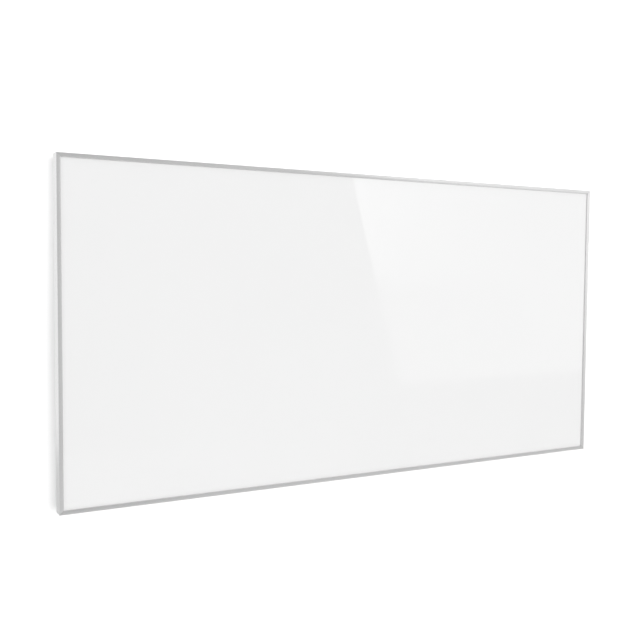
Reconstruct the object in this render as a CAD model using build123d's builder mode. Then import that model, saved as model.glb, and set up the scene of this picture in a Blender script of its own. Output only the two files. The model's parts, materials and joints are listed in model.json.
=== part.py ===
from build123d import *

import os
from math import radians, sqrt, tan

os.makedirs("parts", exist_ok=True)

# A wall-hung infrared panel heater, in millimetres.
#
# X runs along the panel, Z points up and the panel faces -Y. The wall is the plane Y = 0 and the
# origin is the centre of the four wall screws. "Reach" is a distance from the wall into the room,
# so a face at reach 50 lies at Y = -50. "Inset" is a distance inwards from the panel's outline.

# ---------------------------------------------------------------------------
# Driving dimensions
# ---------------------------------------------------------------------------

# Panel and its place in front of the wall
panel_width = 1200.0
panel_height = 600.0
frame_depth = 25.0
wall_gap = 25.0

# Frame extrusion: a front lip, a glass groove, a box chamber and a rebate for the back plate
outer_wall = 1.4
lip_width = 7.0
lip_thickness = 1.8
lip_edge_thickness = 1.0
lip_crown_share = 0.55
edge_round = 0.7
chamber_wall = 1.2
chamber_width = 9.0
flange_width = 8.0
flange_thickness = 1.2
mitre_gap = 0.2

# Glass and its gasket
glass_thickness = 4.0
glass_edge_chamfer = 0.5
gasket_front = 1.5
gasket_rear = 0.6
gasket_web = 0.8
gasket_cover = 6.3

# Heating element, laid on the back of the glass
element_inset = 12.0
film_thickness = 0.3
cover_sheet_thickness = 1.0
busbar_width = 12.0
busbar_thickness = 0.3
busbar_margin = 8.0
busbar_side_gap = 0.2
foil_thickness = 0.2

# Insulation board and back plate
board_clearance = 0.4
back_plate_thickness = 0.9
back_plate_clearance = 0.4
back_plate_corner = 2.0

# Corner keys inside the frame's chamber
key_arm = 38.0
key_clearance = 0.15
key_screw_along = 24.0
key_lead_chamfer = 1.2
key_pocket_length = 8.0
key_pocket_width = 2.6
key_pocket_depth = 9.0

# Small round features that repeat are drawn with flats: most on turned heads and domes, fewer on
# screw heads and flanges, and fewest on shanks, leads and the holes that take them
turned_sides = 12
head_sides = 8
shank_sides = 6

# Screws into the frame
screw_shank_radius = 1.5
screw_head_radius = 2.9
screw_head_height = 1.9
screw_fit = 0.05
screw_plate_clearance = 0.3
key_screw_length = 9.0
plate_screw_length = 5.0
plate_screw_count_long = 4
plate_screw_count_short = 2
plate_screw_end_margin_long = 80.0
plate_screw_end_margin_short = 150.0

# Hanging pattern: four standoffs on the wall, four keyhole brackets on the back plate
hang_side_margin = 150.0
hang_end_margin = 100.0
lift_travel = 12.0

# Wall standoff, of hexagon bar with a turned neck and head
standoff_across = 18.0
neck_radius = 4.0
head_radius = 6.5
head_thickness = 3.0
wall_screw_radius = 2.6
countersink_radius = 5.0
countersink_angle = 90.0
countersink_ledge = 0.2

# Keyhole bracket, a hat section of sheet metal
sheet_thickness = 1.5
hat_inner_depth = 11.5
hat_width = 38.0
hat_foot = 16.0
hat_height = 52.0
hat_bend_radius = 1.5
hat_corner = 3.0
hanging_clearance = 0.3
keyhole_entry_clearance = 0.7

# Blind rivets
rivet_radius = 2.0
rivet_head_radius = 4.0
rivet_head_height = 1.2
rivet_tail_radius = 3.0
rivet_tail_height = 3.0
rivet_fit = 0.05
pocket_clearance = 1.0

# Junction box on the back plate
box_from_side = 300.0
box_from_bottom = 78.0
box_width = 100.0
box_height = 62.0
box_depth = 20.0
box_wall = 2.0
box_floor = 2.0
box_corner_radius = 5.0
box_post_width = 9.0
lid_screw_inset = 5.0
box_lug = 12.0
box_lug_width = 14.0
box_lug_corner_radius = 4.0
box_lug_thickness = 3.0
lid_thickness = 2.0
lid_edge = 0.6
lid_lip_height = 1.5
lid_lip_width = 1.2
lid_lip_clearance = 0.2
lid_screw_length = 11.0
lid_screw_radius = 1.25
lid_screw_head_radius = 2.4
lid_screw_head_height = 1.5
lid_screw_sink = 0.9

# Terminal block in the box
terminal_from_earth = 21.0
terminal_z = 2.0
terminal_pitch = 10.0
pole_count = 3
terminal_length = 18.0
terminal_height = 13.0
terminal_shoulder = 2.2
terminal_step = 4.0
terminal_bore_radius = 2.6
clamp_wall = 0.9
clamp_length = 12.0
clamp_screw_radius = 1.3
clamp_screw_length = 4.0
clamp_screw_spread = 7.0
clamp_screw_well_radius = 2.0
terminal_fixing_radius = 1.2
terminal_fixing_head_radius = 2.2
terminal_fixing_head_height = 1.4
terminal_fixing_sink = 5.0

# Earth stud, nut and tag
earth_from_wall = 7.0
earth_z = -4.0
earth_stud_radius = 2.0
earth_stud_length = 10.0
earth_nut_across = 7.0
earth_nut_height = 3.2
earth_tag_radius = 4.0
earth_tag_thickness = 0.8
earth_tag_neck = 2.0
earth_tag_width = 4.0
earth_tag_barrel = 6.0

# Cable gland in the lower wall of the box, under the terminal block
gland_thread_radius = 6.0
gland_thread_length = 10.0
gland_hex_across = 15.0
gland_hex_height = 4.0
gland_collar_radius = 6.4
gland_collar_length = 7.0
gland_seal_radius = 4.6
gland_seal_length = 8.0
gland_nut_height = 4.0
gland_dome_start = 0.6
gland_dome_skirt = 6.5
gland_dome_length = 12.0
gland_dome_root_radius = 7.4
gland_dome_flank_share = 0.8
gland_dome_draw_in = 2.0
gland_dome_tip_chamfer = 0.6
gland_dome_mouth_radius = 4.0
gland_fit = 0.05
gland_wall_clearance = 0.2
cord_bore_radius = 3.1

# Inner leads and their way through the back plate
lead_radius = 1.1
lead_bend = 4.0
lead_fit = 0.05
lead_turn_rise = 9.0
lead_pitch = 2.9
grommet_from_terminal = 44.0
grommet_z = 16.0
grommet_bore_radius = 2.8
grommet_plate_radius = 4.6
grommet_flange_radius = 6.2
grommet_flange_thickness = 1.4
lead_channel_width = 5.0
lead_channel_depth = 7.0
lead_channel_lie = 5.4

# Thermal cut-out behind the heating element
cutout_rise = 105.0
cutout_length = 19.0
cutout_width = 7.6
cutout_thickness = 4.0
cutout_sleeve_radius = 1.7
cutout_sleeve_length = 5.0
cutout_pocket_clearance = 2.0
strap_thickness = 0.5
strap_width = 8.0
strap_foot = 6.0

# Solder tabs on the busbars
tab_width = 8.0
tab_length = 11.0
tab_thickness = 0.6
tab_barrel_length = 6.0
tab_barrel_wall = 0.6
tab_window_clearance = 1.0

# ---------------------------------------------------------------------------
# Reaches and insets worked out from the driving dimensions
# ---------------------------------------------------------------------------

frame_front = wall_gap + frame_depth
lip_back = frame_front - lip_thickness
glass_front = lip_back - gasket_front
glass_back = glass_front - glass_thickness
groove_back = glass_back - gasket_rear
chamber_front = groove_back - chamber_wall
chamber_back = wall_gap + chamber_wall
plate_front = wall_gap + back_plate_thickness
flange_front = plate_front + flange_thickness

film_back = glass_back - film_thickness
busbar_back = film_back - busbar_thickness
sheet_back = film_back - cover_sheet_thickness
foil_back = sheet_back - foil_thickness

chamber_inner = chamber_width - chamber_wall
chamber_middle = (outer_wall + chamber_inner) / 2
glass_inset = outer_wall + gasket_web
plate_inset = chamber_width + back_plate_clearance
flange_inset = chamber_width + flange_width
plate_screw_inset = chamber_width + flange_width / 2
board_inset = chamber_width + board_clearance

crown_reach = wall_gap - sheet_thickness - hat_inner_depth
crown_inner = crown_reach + sheet_thickness
crown_outer = crown_reach
slot_radius = neck_radius + hanging_clearance
entry_radius = head_radius + keyhole_entry_clearance

box_x = panel_width / 2 - box_from_side
box_z = box_from_bottom - panel_height / 2
box_mouth = wall_gap - box_depth
box_floor_reach = wall_gap - box_floor
box_bottom = box_z - box_height / 2
gland_reach = wall_gap - box_depth / 2 - box_floor / 2
earth_x = box_x - box_width / 2 + box_wall + earth_from_wall
terminal_x = earth_x + terminal_from_earth
lead_x = terminal_x + grommet_from_terminal

hang_x = panel_width / 2 - hang_side_margin
hang_z = panel_height / 2 - hang_end_margin
hang_places = {
    "top_left": (-hang_x, hang_z),
    "top_right": (hang_x, hang_z),
    "bottom_left": (-hang_x, -hang_z),
    "bottom_right": (hang_x, -hang_z),
}


# ---------------------------------------------------------------------------
# Planes
# ---------------------------------------------------------------------------


def room_plane(reach, x=0.0, z=0.0):
    """A plane parallel to the wall that faces the room; its local x is X and its local y is Z."""
    return Plane(origin=(x, -reach, z), x_dir=(1, 0, 0), z_dir=(0, -1, 0))


def level_plane(x, z):
    """A horizontal plane that faces down; its local x is X and its local y is the reach."""
    return Plane(origin=(x, 0, z), x_dir=(1, 0, 0), z_dir=(0, 0, -1))


def upright_plane(x, z=0.0):
    """A plane square to the panel's length; its local x is the reach and its local y is Z."""
    return Plane(origin=(x, 0, z), x_dir=(0, -1, 0), z_dir=(-1, 0, 0))


# The four sides of the frame: local x is the inset, local y the reach, and z runs along the side.
side_planes = {
    "top": Plane(origin=(0, 0, panel_height / 2), x_dir=(0, 0, -1), z_dir=(-1, 0, 0)),
    "bottom": Plane(origin=(0, 0, -panel_height / 2), x_dir=(0, 0, 1), z_dir=(1, 0, 0)),
    "left": Plane(origin=(-panel_width / 2, 0, 0), x_dir=(1, 0, 0), z_dir=(0, 0, -1)),
    "right": Plane(origin=(panel_width / 2, 0, 0), x_dir=(-1, 0, 0), z_dir=(0, 0, 1)),
}
side_lengths = {
    "top": panel_width,
    "bottom": panel_width,
    "left": panel_height,
    "right": panel_height,
}


def peg(radius, sides=head_sides):
    """The section of a small round peg, with its corners on the radius."""
    RegularPolygon(radius, sides)


def hole(radius, sides=head_sides, mode=Mode.ADD):
    """The section of a small round hole, with its flats on the radius, so that a peg goes in."""
    RegularPolygon(radius, sides, major_radius=False, mode=mode)


def shank(radius):
    """The section of a screw's or rivet's shank, or of a lead."""
    peg(radius, shank_sides)


def shank_hole(radius, mode=Mode.ADD):
    """The section of a hole that a shank or a lead goes through."""
    hole(radius, shank_sides, mode)


def hexagon(across):
    """A hexagon by its width across the flats."""
    RegularPolygon(across / 2, 6, major_radius=False)


def even_offsets(length, margin, count):
    """Places along a side, evenly spread between two end margins."""
    run = length - 2 * margin
    return [run * (i / (count - 1) - 0.5) for i in range(count)]


def along_side(side, offset, inset):
    """The X and Z of a place on a side of the frame."""
    plane = side_planes[side]
    place = plane.origin + plane.z_dir * offset + plane.x_dir * inset
    return (place.X, place.Z)


plate_screw_offsets = {
    side: even_offsets(panel_width, plate_screw_end_margin_long, plate_screw_count_long)
    if side in ("top", "bottom")
    else even_offsets(panel_height, plate_screw_end_margin_short, plate_screw_count_short)
    for side in side_planes
}
plate_screw_places = [
    along_side(side, offset, plate_screw_inset)
    for side in side_planes
    for offset in plate_screw_offsets[side]
]
key_screw_offsets = {
    side: [
        key_screw_along - side_lengths[side] / 2,
        side_lengths[side] / 2 - key_screw_along,
    ]
    for side in side_planes
}
key_screw_places = [
    along_side(side, offset, chamber_middle)
    for side in side_planes
    for offset in key_screw_offsets[side]
]
hat_foot_middle = (hat_width + hat_foot) / 2
hanger_rivet_places = [
    (x + side * hat_foot_middle, z) for x, z in hang_places.values() for side in (-1, 1)
]
box_rivet_places = [
    (box_x + side * (box_width + box_lug) / 2, box_z) for side in (-1, 1)
]
lid_screw_places = [
    (
        box_x + side * (box_width / 2 - lid_screw_inset),
        box_z + up * (box_height / 2 - lid_screw_inset),
    )
    for side in (-1, 1)
    for up in (-1, 1)
]


# ---------------------------------------------------------------------------
# Frame: four mitred extrusions
# ---------------------------------------------------------------------------


def frame_member(side):
    """One mitred length of the frame extrusion, with its screw holes."""
    plane = side_planes[side]
    length = side_lengths[side]
    lip_inner_front = lip_back + lip_edge_thickness
    crown_inset = edge_round + (lip_width - edge_round) * lip_crown_share
    crown_drop = (lip_thickness - lip_edge_thickness) * lip_crown_share**2
    with BuildPart() as member:
        with BuildSketch(plane):
            with BuildLine():
                RadiusArc(
                    (0, frame_front - edge_round), (edge_round, frame_front), edge_round
                )
                ThreePointArc(
                    (edge_round, frame_front),
                    (crown_inset, frame_front - crown_drop),
                    (lip_width, lip_inner_front),
                )
                Polyline(
                    (lip_width, lip_inner_front),
                    (lip_width, lip_back),
                    (outer_wall, lip_back),
                    (outer_wall, groove_back),
                    (chamber_width, groove_back),
                    (chamber_width, flange_front),
                    (flange_inset, flange_front),
                    (flange_inset, plate_front),
                    (chamber_width, plate_front),
                    (chamber_width, wall_gap),
                    (0, wall_gap),
                    (0, frame_front - edge_round),
                )
            make_face()
            with Locations((chamber_middle, (chamber_front + chamber_back) / 2)):
                Rectangle(
                    chamber_inner - outer_wall,
                    chamber_front - chamber_back,
                    mode=Mode.SUBTRACT,
                )
        extrude(amount=length / 2, both=True)
        for end in (-1, 1):
            mitre = Plane(
                origin=plane.origin + plane.z_dir * end * (length / 2 - mitre_gap / sqrt(2)),
                z_dir=plane.x_dir + plane.z_dir * end,
            )
            split(bisect_by=mitre, keep=Keep.BOTTOM)
        back_face = Plane(
            origin=plane.origin + plane.y_dir * wall_gap,
            x_dir=plane.z_dir,
            z_dir=plane.y_dir,
        )
        with BuildSketch(back_face):
            with Locations(*[(s, plate_screw_inset) for s in plate_screw_offsets[side]]):
                shank_hole(screw_shank_radius + screw_fit)
        extrude(amount=flange_front - wall_gap, mode=Mode.SUBTRACT)
        with BuildSketch(back_face):
            with Locations(*[(s, chamber_middle) for s in key_screw_offsets[side]]):
                shank_hole(screw_shank_radius + screw_plate_clearance)
        extrude(amount=chamber_wall, mode=Mode.SUBTRACT)
    return member


frame_members = {side: frame_member(side) for side in side_planes}
for side, member in frame_members.items():
    member.part.label = f"frame_{side}"
    export_step(member.part, f"parts/frame_{side}.step")


# ---------------------------------------------------------------------------
# Corner keys: die-cast angles that join the extrusions inside their chamber
# ---------------------------------------------------------------------------


def corner_key(side_x, side_z):
    """An L-shaped key in the chamber of two sides, with a pocket and a pilot hole in each arm."""
    near = outer_wall + key_clearance
    far = chamber_inner - key_clearance
    middle = (near + far) / 2
    back = chamber_back + key_clearance
    front = chamber_front - key_clearance

    def place(a, b):
        return (side_x * (panel_width / 2 - a), side_z * (panel_height / 2 - b))

    outline = [
        (near, near),
        (key_arm - key_lead_chamfer, near),
        (key_arm, near + key_lead_chamfer),
        (key_arm, far - key_lead_chamfer),
        (key_arm - key_lead_chamfer, far),
        (far, far),
        (far, key_arm - key_lead_chamfer),
        (far - key_lead_chamfer, key_arm),
        (near + key_lead_chamfer, key_arm),
        (near, key_arm - key_lead_chamfer),
    ]
    pocket_middle = (far + key_screw_along) / 2
    with BuildPart() as key:
        with BuildSketch(room_plane(back)):
            with BuildLine():
                Polyline(*[place(a, b) for a, b in outline], close=True)
            make_face()
        extrude(amount=front - back)
        with BuildSketch(room_plane(front)):
            with Locations(place(pocket_middle, middle)):
                Rectangle(key_pocket_length, key_pocket_width)
            with Locations(place(middle, pocket_middle)):
                Rectangle(key_pocket_width, key_pocket_length)
        extrude(amount=-key_pocket_depth, mode=Mode.SUBTRACT)
        with BuildSketch(room_plane(back)):
            with Locations(place(key_screw_along, middle), place(middle, key_screw_along)):
                shank_hole(screw_shank_radius + screw_fit)
        extrude(amount=key_screw_length, mode=Mode.SUBTRACT)
    return key


corner_keys = {
    "top_left": corner_key(-1, 1),
    "top_right": corner_key(1, 1),
    "bottom_left": corner_key(-1, -1),
    "bottom_right": corner_key(1, -1),
}
for corner, key in corner_keys.items():
    key.part.label = f"corner_key_{corner}"
    export_step(key.part, f"parts/corner_key_{corner}.step")


# ---------------------------------------------------------------------------
# Fasteners
# ---------------------------------------------------------------------------


def pan_head_screws(places, seat, shank_radius, length, head_radius, head_height):
    """Screws driven from the wall side, whose heads bear on a face at the seat's reach."""
    with BuildPart() as screws:
        with BuildSketch(room_plane(seat)):
            with Locations(*places):
                peg(head_radius)
        extrude(amount=-head_height)
        with BuildSketch(room_plane(seat)):
            with Locations(*places):
                shank(shank_radius)
        extrude(amount=length)
    return screws


def blind_rivets(places, seat, grip):
    """Set rivets: a low head on the wall side, a shank through the grip and a tail beyond it."""
    with BuildPart() as rivets:
        with BuildSketch(room_plane(seat)):
            with Locations(*places):
                peg(rivet_head_radius)
        extrude(amount=-rivet_head_height)
        with BuildSketch(room_plane(seat)):
            with Locations(*places):
                shank(rivet_radius)
        extrude(amount=grip)
        with BuildSketch(room_plane(seat + grip)):
            with Locations(*places):
                shank(rivet_tail_radius)
        extrude(amount=rivet_tail_height)
    return rivets


corner_key_screws = pan_head_screws(
    key_screw_places,
    wall_gap,
    screw_shank_radius,
    key_screw_length,
    screw_head_radius,
    screw_head_height,
)
corner_key_screws.part.label = "corner_key_screws"
export_step(corner_key_screws.part, "parts/corner_key_screws.step")

back_plate_screws = pan_head_screws(
    plate_screw_places,
    wall_gap,
    screw_shank_radius,
    plate_screw_length,
    screw_head_radius,
    screw_head_height,
)
back_plate_screws.part.label = "back_plate_screws"
export_step(back_plate_screws.part, "parts/back_plate_screws.step")

hanger_rivets = blind_rivets(
    hanger_rivet_places,
    wall_gap - sheet_thickness,
    sheet_thickness + back_plate_thickness,
)
hanger_rivets.part.label = "hanger_rivets"
export_step(hanger_rivets.part, "parts/hanger_rivets.step")

junction_box_rivets = blind_rivets(
    box_rivet_places,
    wall_gap - box_lug_thickness,
    box_lug_thickness + back_plate_thickness,
)
junction_box_rivets.part.label = "junction_box_rivets"
export_step(junction_box_rivets.part, "parts/junction_box_rivets.step")


# ---------------------------------------------------------------------------
# Glass and gasket
# ---------------------------------------------------------------------------

glass_width = panel_width - 2 * glass_inset
glass_height = panel_height - 2 * glass_inset

with BuildPart() as front_glass:
    with BuildSketch(room_plane(glass_back)):
        Rectangle(glass_width, glass_height)
    extrude(amount=glass_thickness)
    front_rim = front_glass.faces().sort_by(Axis.Y)[0].edges()
    chamfer(front_rim, glass_edge_chamfer)
front_glass.part.label = "front_glass"
export_step(front_glass.part, "parts/front_glass.step")

with BuildPart() as glass_gasket:
    with BuildSketch(room_plane(groove_back)):
        Rectangle(panel_width - 2 * outer_wall, panel_height - 2 * outer_wall)
        Rectangle(
            panel_width - 2 * gasket_cover,
            panel_height - 2 * gasket_cover,
            mode=Mode.SUBTRACT,
        )
    extrude(amount=lip_back - groove_back)
    with BuildSketch(room_plane(glass_back)):
        Rectangle(glass_width, glass_height)
    extrude(amount=glass_thickness, mode=Mode.SUBTRACT)
glass_gasket.part.label = "glass_gasket"
export_step(glass_gasket.part, "parts/glass_gasket.step")


# ---------------------------------------------------------------------------
# Heating element: carbon film, copper busbars, glass-fibre cover sheet, reflector foil
# ---------------------------------------------------------------------------

element_width = panel_width - 2 * element_inset
element_height = panel_height - 2 * element_inset
busbar_length = element_width - 2 * busbar_margin
busbar_offset = element_height / 2 - busbar_margin - busbar_width / 2

grommet_place = (lead_x, box_z + grommet_z)
live_grommet_z = box_z + grommet_z + lead_pitch / 2
neutral_grommet_z = box_z + grommet_z - lead_pitch / 2
cutout_z = box_z + grommet_z + cutout_rise
cutout_middle = sheet_back - cutout_thickness / 2
tab_back = busbar_back - tab_thickness
barrel_radius = lead_radius + lead_fit + tab_barrel_wall
barrel_reach = tab_back - barrel_radius + tab_barrel_wall / 2
tab_places = [(lead_x, busbar_offset), (lead_x, -busbar_offset)]
tab_window_width = tab_width + 2 * tab_window_clearance
tab_window_length = tab_length + 2 * tab_window_clearance
cutout_window_width = cutout_width + 2 * (strap_foot + cutout_pocket_clearance)
cutout_window_length = cutout_length + 2 * (cutout_sleeve_length + cutout_pocket_clearance)

with BuildPart() as heating_film:
    with BuildSketch(room_plane(film_back)):
        Rectangle(element_width, element_height)
    extrude(amount=film_thickness)
heating_film.part.label = "heating_film"
export_step(heating_film.part, "parts/heating_film.step")

for level, up in (("top", 1), ("bottom", -1)):
    with BuildPart() as busbar:
        with BuildSketch(room_plane(busbar_back)):
            with Locations((0, up * busbar_offset)):
                Rectangle(busbar_length, busbar_width)
        extrude(amount=busbar_thickness)
    busbar.part.label = f"busbar_{level}"
    export_step(busbar.part, f"parts/busbar_{level}.step")

with BuildPart() as cover_sheet:
    with BuildSketch(room_plane(sheet_back)):
        Rectangle(element_width, element_height)
    extrude(amount=cover_sheet_thickness)
    with BuildSketch(room_plane(film_back)):
        with Locations((0, busbar_offset), (0, -busbar_offset)):
            Rectangle(busbar_length + 2 * busbar_side_gap, busbar_width + 2 * busbar_side_gap)
    extrude(amount=-busbar_thickness, mode=Mode.SUBTRACT)
    with BuildSketch(room_plane(sheet_back)):
        with Locations(*tab_places):
            Rectangle(tab_window_width, tab_window_length)
    extrude(amount=cover_sheet_thickness, mode=Mode.SUBTRACT)
cover_sheet.part.label = "cover_sheet"
export_step(cover_sheet.part, "parts/cover_sheet.step")

with BuildPart() as reflector_foil:
    with BuildSketch(room_plane(foil_back)):
        Rectangle(element_width, element_height)
        with Locations(*tab_places):
            Rectangle(tab_window_width, tab_window_length, mode=Mode.SUBTRACT)
        with Locations((lead_x, cutout_z)):
            Rectangle(cutout_window_width, cutout_window_length, mode=Mode.SUBTRACT)
    extrude(amount=foil_thickness)
reflector_foil.part.label = "reflector_foil"
export_step(reflector_foil.part, "parts/reflector_foil.step")

with BuildPart() as busbar_tabs:
    with BuildSketch(room_plane(busbar_back)):
        with Locations(*tab_places):
            Rectangle(tab_width, tab_length)
    extrude(amount=-tab_thickness)
    for x, z in tab_places:
        with BuildSketch(Plane(origin=(x, -barrel_reach, z), x_dir=(1, 0, 0), z_dir=(0, 0, 1))):
            peg(barrel_radius)
        extrude(amount=tab_barrel_length / 2, both=True)
        with BuildSketch(Plane(origin=(x, -barrel_reach, z), x_dir=(1, 0, 0), z_dir=(0, 0, 1))):
            shank_hole(lead_radius + lead_fit)
        extrude(amount=tab_barrel_length / 2, both=True, mode=Mode.SUBTRACT)
busbar_tabs.part.label = "busbar_tabs"
export_step(busbar_tabs.part, "parts/busbar_tabs.step")


# ---------------------------------------------------------------------------
# Thermal cut-out and its strap
# ---------------------------------------------------------------------------

sleeve_plane = Plane(origin=(lead_x, -cutout_middle, cutout_z), x_dir=(1, 0, 0), z_dir=(0, 0, 1))
cutout_half = cutout_length / 2

with BuildPart() as thermal_cutout:
    with BuildSketch(room_plane(sheet_back)):
        with Locations((lead_x, cutout_z)):
            Rectangle(cutout_width, cutout_length)
    extrude(amount=-cutout_thickness)
    with BuildSketch(sleeve_plane):
        peg(cutout_sleeve_radius)
    extrude(amount=cutout_half + cutout_sleeve_length, both=True)
    for end in (-1, 1):
        with BuildSketch(sleeve_plane.offset(end * cutout_half)):
            shank_hole(lead_radius + lead_fit)
        extrude(amount=end * cutout_sleeve_length, mode=Mode.SUBTRACT)
thermal_cutout.part.label = "thermal_cutout"
export_step(thermal_cutout.part, "parts/thermal_cutout.step")

with BuildPart() as cutout_strap:
    strap_half = cutout_width / 2
    with BuildSketch(level_plane(lead_x, cutout_z)):
        with BuildLine():
            Polyline(
                (-strap_half - strap_foot, sheet_back),
                (-strap_half, sheet_back),
                (-strap_half, sheet_back - cutout_thickness),
                (strap_half, sheet_back - cutout_thickness),
                (strap_half, sheet_back),
                (strap_half + strap_foot, sheet_back),
                (strap_half + strap_foot, sheet_back - strap_thickness),
                (strap_half + strap_thickness, sheet_back - strap_thickness),
                (strap_half + strap_thickness, sheet_back - cutout_thickness - strap_thickness),
                (-strap_half - strap_thickness, sheet_back - cutout_thickness - strap_thickness),
                (-strap_half - strap_thickness, sheet_back - strap_thickness),
                (-strap_half - strap_foot, sheet_back - strap_thickness),
                close=True,
            )
        make_face()
    extrude(amount=strap_width / 2, both=True)
cutout_strap.part.label = "cutout_strap"
export_step(cutout_strap.part, "parts/cutout_strap.step")


# ---------------------------------------------------------------------------
# Insulation board, with its rebate, lead channels and pockets
# ---------------------------------------------------------------------------

rise_lower = cutout_z - cutout_half - cutout_sleeve_length - 3 * lead_bend
rise_upper = cutout_z + cutout_half + cutout_sleeve_length + 3 * lead_bend
tab_approach = busbar_offset - tab_barrel_length / 2 - 2 * lead_bend
channel_reach = plate_front + lead_channel_lie
lead_passage_length = 2 * (lead_bend + lead_radius)
lead_channels = [
    (live_grommet_z, rise_lower),
    (rise_upper, tab_approach),
    (-tab_approach, neutral_grommet_z),
]

with BuildPart() as insulation_board:
    with BuildSketch(room_plane(flange_front)):
        Rectangle(panel_width - 2 * board_inset, panel_height - 2 * board_inset)
    extrude(amount=foil_back - flange_front)
    with BuildSketch(room_plane(plate_front)):
        Rectangle(
            panel_width - 2 * (flange_inset + board_clearance),
            panel_height - 2 * (flange_inset + board_clearance),
        )
    extrude(amount=flange_front - plate_front)
    for low, high in lead_channels:
        with BuildSketch(room_plane(plate_front)):
            with Locations((lead_x, (low + high) / 2)):
                Rectangle(lead_channel_width, high - low + lead_channel_width)
        extrude(amount=lead_channel_depth, mode=Mode.SUBTRACT)
    with BuildSketch(room_plane(plate_front)):
        with Locations(
            (lead_x, rise_lower),
            (lead_x, rise_upper),
            (lead_x, tab_approach),
            (lead_x, -tab_approach),
        ):
            Rectangle(lead_channel_width, lead_passage_length)
    extrude(amount=foil_back - plate_front, mode=Mode.SUBTRACT)
    with BuildSketch(room_plane(foil_back)):
        with Locations((lead_x, cutout_z)):
            Rectangle(cutout_window_width, rise_upper - rise_lower + lead_channel_width)
    extrude(amount=-(cutout_thickness + strap_thickness), mode=Mode.SUBTRACT)
    with BuildSketch(room_plane(foil_back)):
        for up in (-1, 1):
            with Locations((lead_x, up * (busbar_offset + tab_approach) / 2)):
                Rectangle(
                    tab_window_width,
                    busbar_offset - tab_approach + tab_length + 2 * tab_window_clearance,
                )
    extrude(amount=-(2 * barrel_radius + tab_window_clearance), mode=Mode.SUBTRACT)
    with BuildSketch(room_plane(plate_front)):
        with Locations(grommet_place):
            grommet_pocket = 2 * (grommet_flange_radius + pocket_clearance)
            Rectangle(grommet_pocket, grommet_pocket)
    extrude(amount=lead_channel_depth, mode=Mode.SUBTRACT)
    with BuildSketch(room_plane(plate_front)):
        with Locations(*hanger_rivet_places, *box_rivet_places):
            rivet_pocket = 2 * (rivet_tail_radius + pocket_clearance)
            Rectangle(rivet_pocket, rivet_pocket)
    extrude(amount=rivet_tail_height + pocket_clearance, mode=Mode.SUBTRACT)
    with BuildSketch(room_plane(flange_front)):
        with Locations(*plate_screw_places):
            screw_pocket = 2 * (screw_shank_radius + pocket_clearance)
            Rectangle(screw_pocket, screw_pocket)
    extrude(amount=plate_screw_length, mode=Mode.SUBTRACT)
insulation_board.part.label = "insulation_board"
export_step(insulation_board.part, "parts/insulation_board.step")


# ---------------------------------------------------------------------------
# Back plate
# ---------------------------------------------------------------------------

with BuildPart() as back_plate:
    with BuildSketch(room_plane(wall_gap)):
        sheet = Rectangle(panel_width - 2 * plate_inset, panel_height - 2 * plate_inset)
        chamfer(sheet.vertices(), back_plate_corner)
        with Locations(*plate_screw_places):
            shank_hole(screw_shank_radius + screw_plate_clearance, mode=Mode.SUBTRACT)
        with Locations(*hanger_rivet_places, *box_rivet_places):
            shank_hole(rivet_radius + rivet_fit, mode=Mode.SUBTRACT)
        with Locations(grommet_place):
            hole(grommet_plate_radius, mode=Mode.SUBTRACT)
    extrude(amount=back_plate_thickness)
back_plate.part.label = "back_plate"
export_step(back_plate.part, "parts/back_plate.step")


# ---------------------------------------------------------------------------
# Keyhole brackets and wall standoffs
# ---------------------------------------------------------------------------


def hanger_bracket(x, z):
    """A hat-section bracket with a keyhole in its crown, riveted to the back plate."""
    half = hat_width / 2
    foot_end = half + hat_foot
    foot_outer = wall_gap - sheet_thickness
    with BuildPart() as bracket:
        with BuildSketch(level_plane(x, z)):
            with BuildLine():
                hat = FilletPolyline(
                    (-foot_end, wall_gap),
                    (-half, wall_gap),
                    (-half, crown_inner),
                    (half, crown_inner),
                    (half, wall_gap),
                    (foot_end, wall_gap),
                    radius=hat_bend_radius,
                )
                offset(hat, amount=sheet_thickness, side=Side.RIGHT)
            make_face()
        extrude(amount=hat_height / 2, both=True)
        corners = bracket.edges().filter_by(Axis.Y).filter_by(
            lambda edge: abs(edge.center().X - x) > foot_end - sheet_thickness
        )
        chamfer(corners, hat_corner)
        with BuildSketch(room_plane(crown_outer, x, z)):
            Circle(slot_radius)
            with Locations((0, -lift_travel / 2)):
                Rectangle(2 * slot_radius, lift_travel)
            with Locations((0, -lift_travel)):
                Circle(entry_radius)
        extrude(amount=sheet_thickness, mode=Mode.SUBTRACT)
        with BuildSketch(room_plane(foot_outer, x, z)):
            with Locations((-hat_foot_middle, 0), (hat_foot_middle, 0)):
                shank_hole(rivet_radius + rivet_fit)
        extrude(amount=sheet_thickness, mode=Mode.SUBTRACT)
    return bracket


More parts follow.
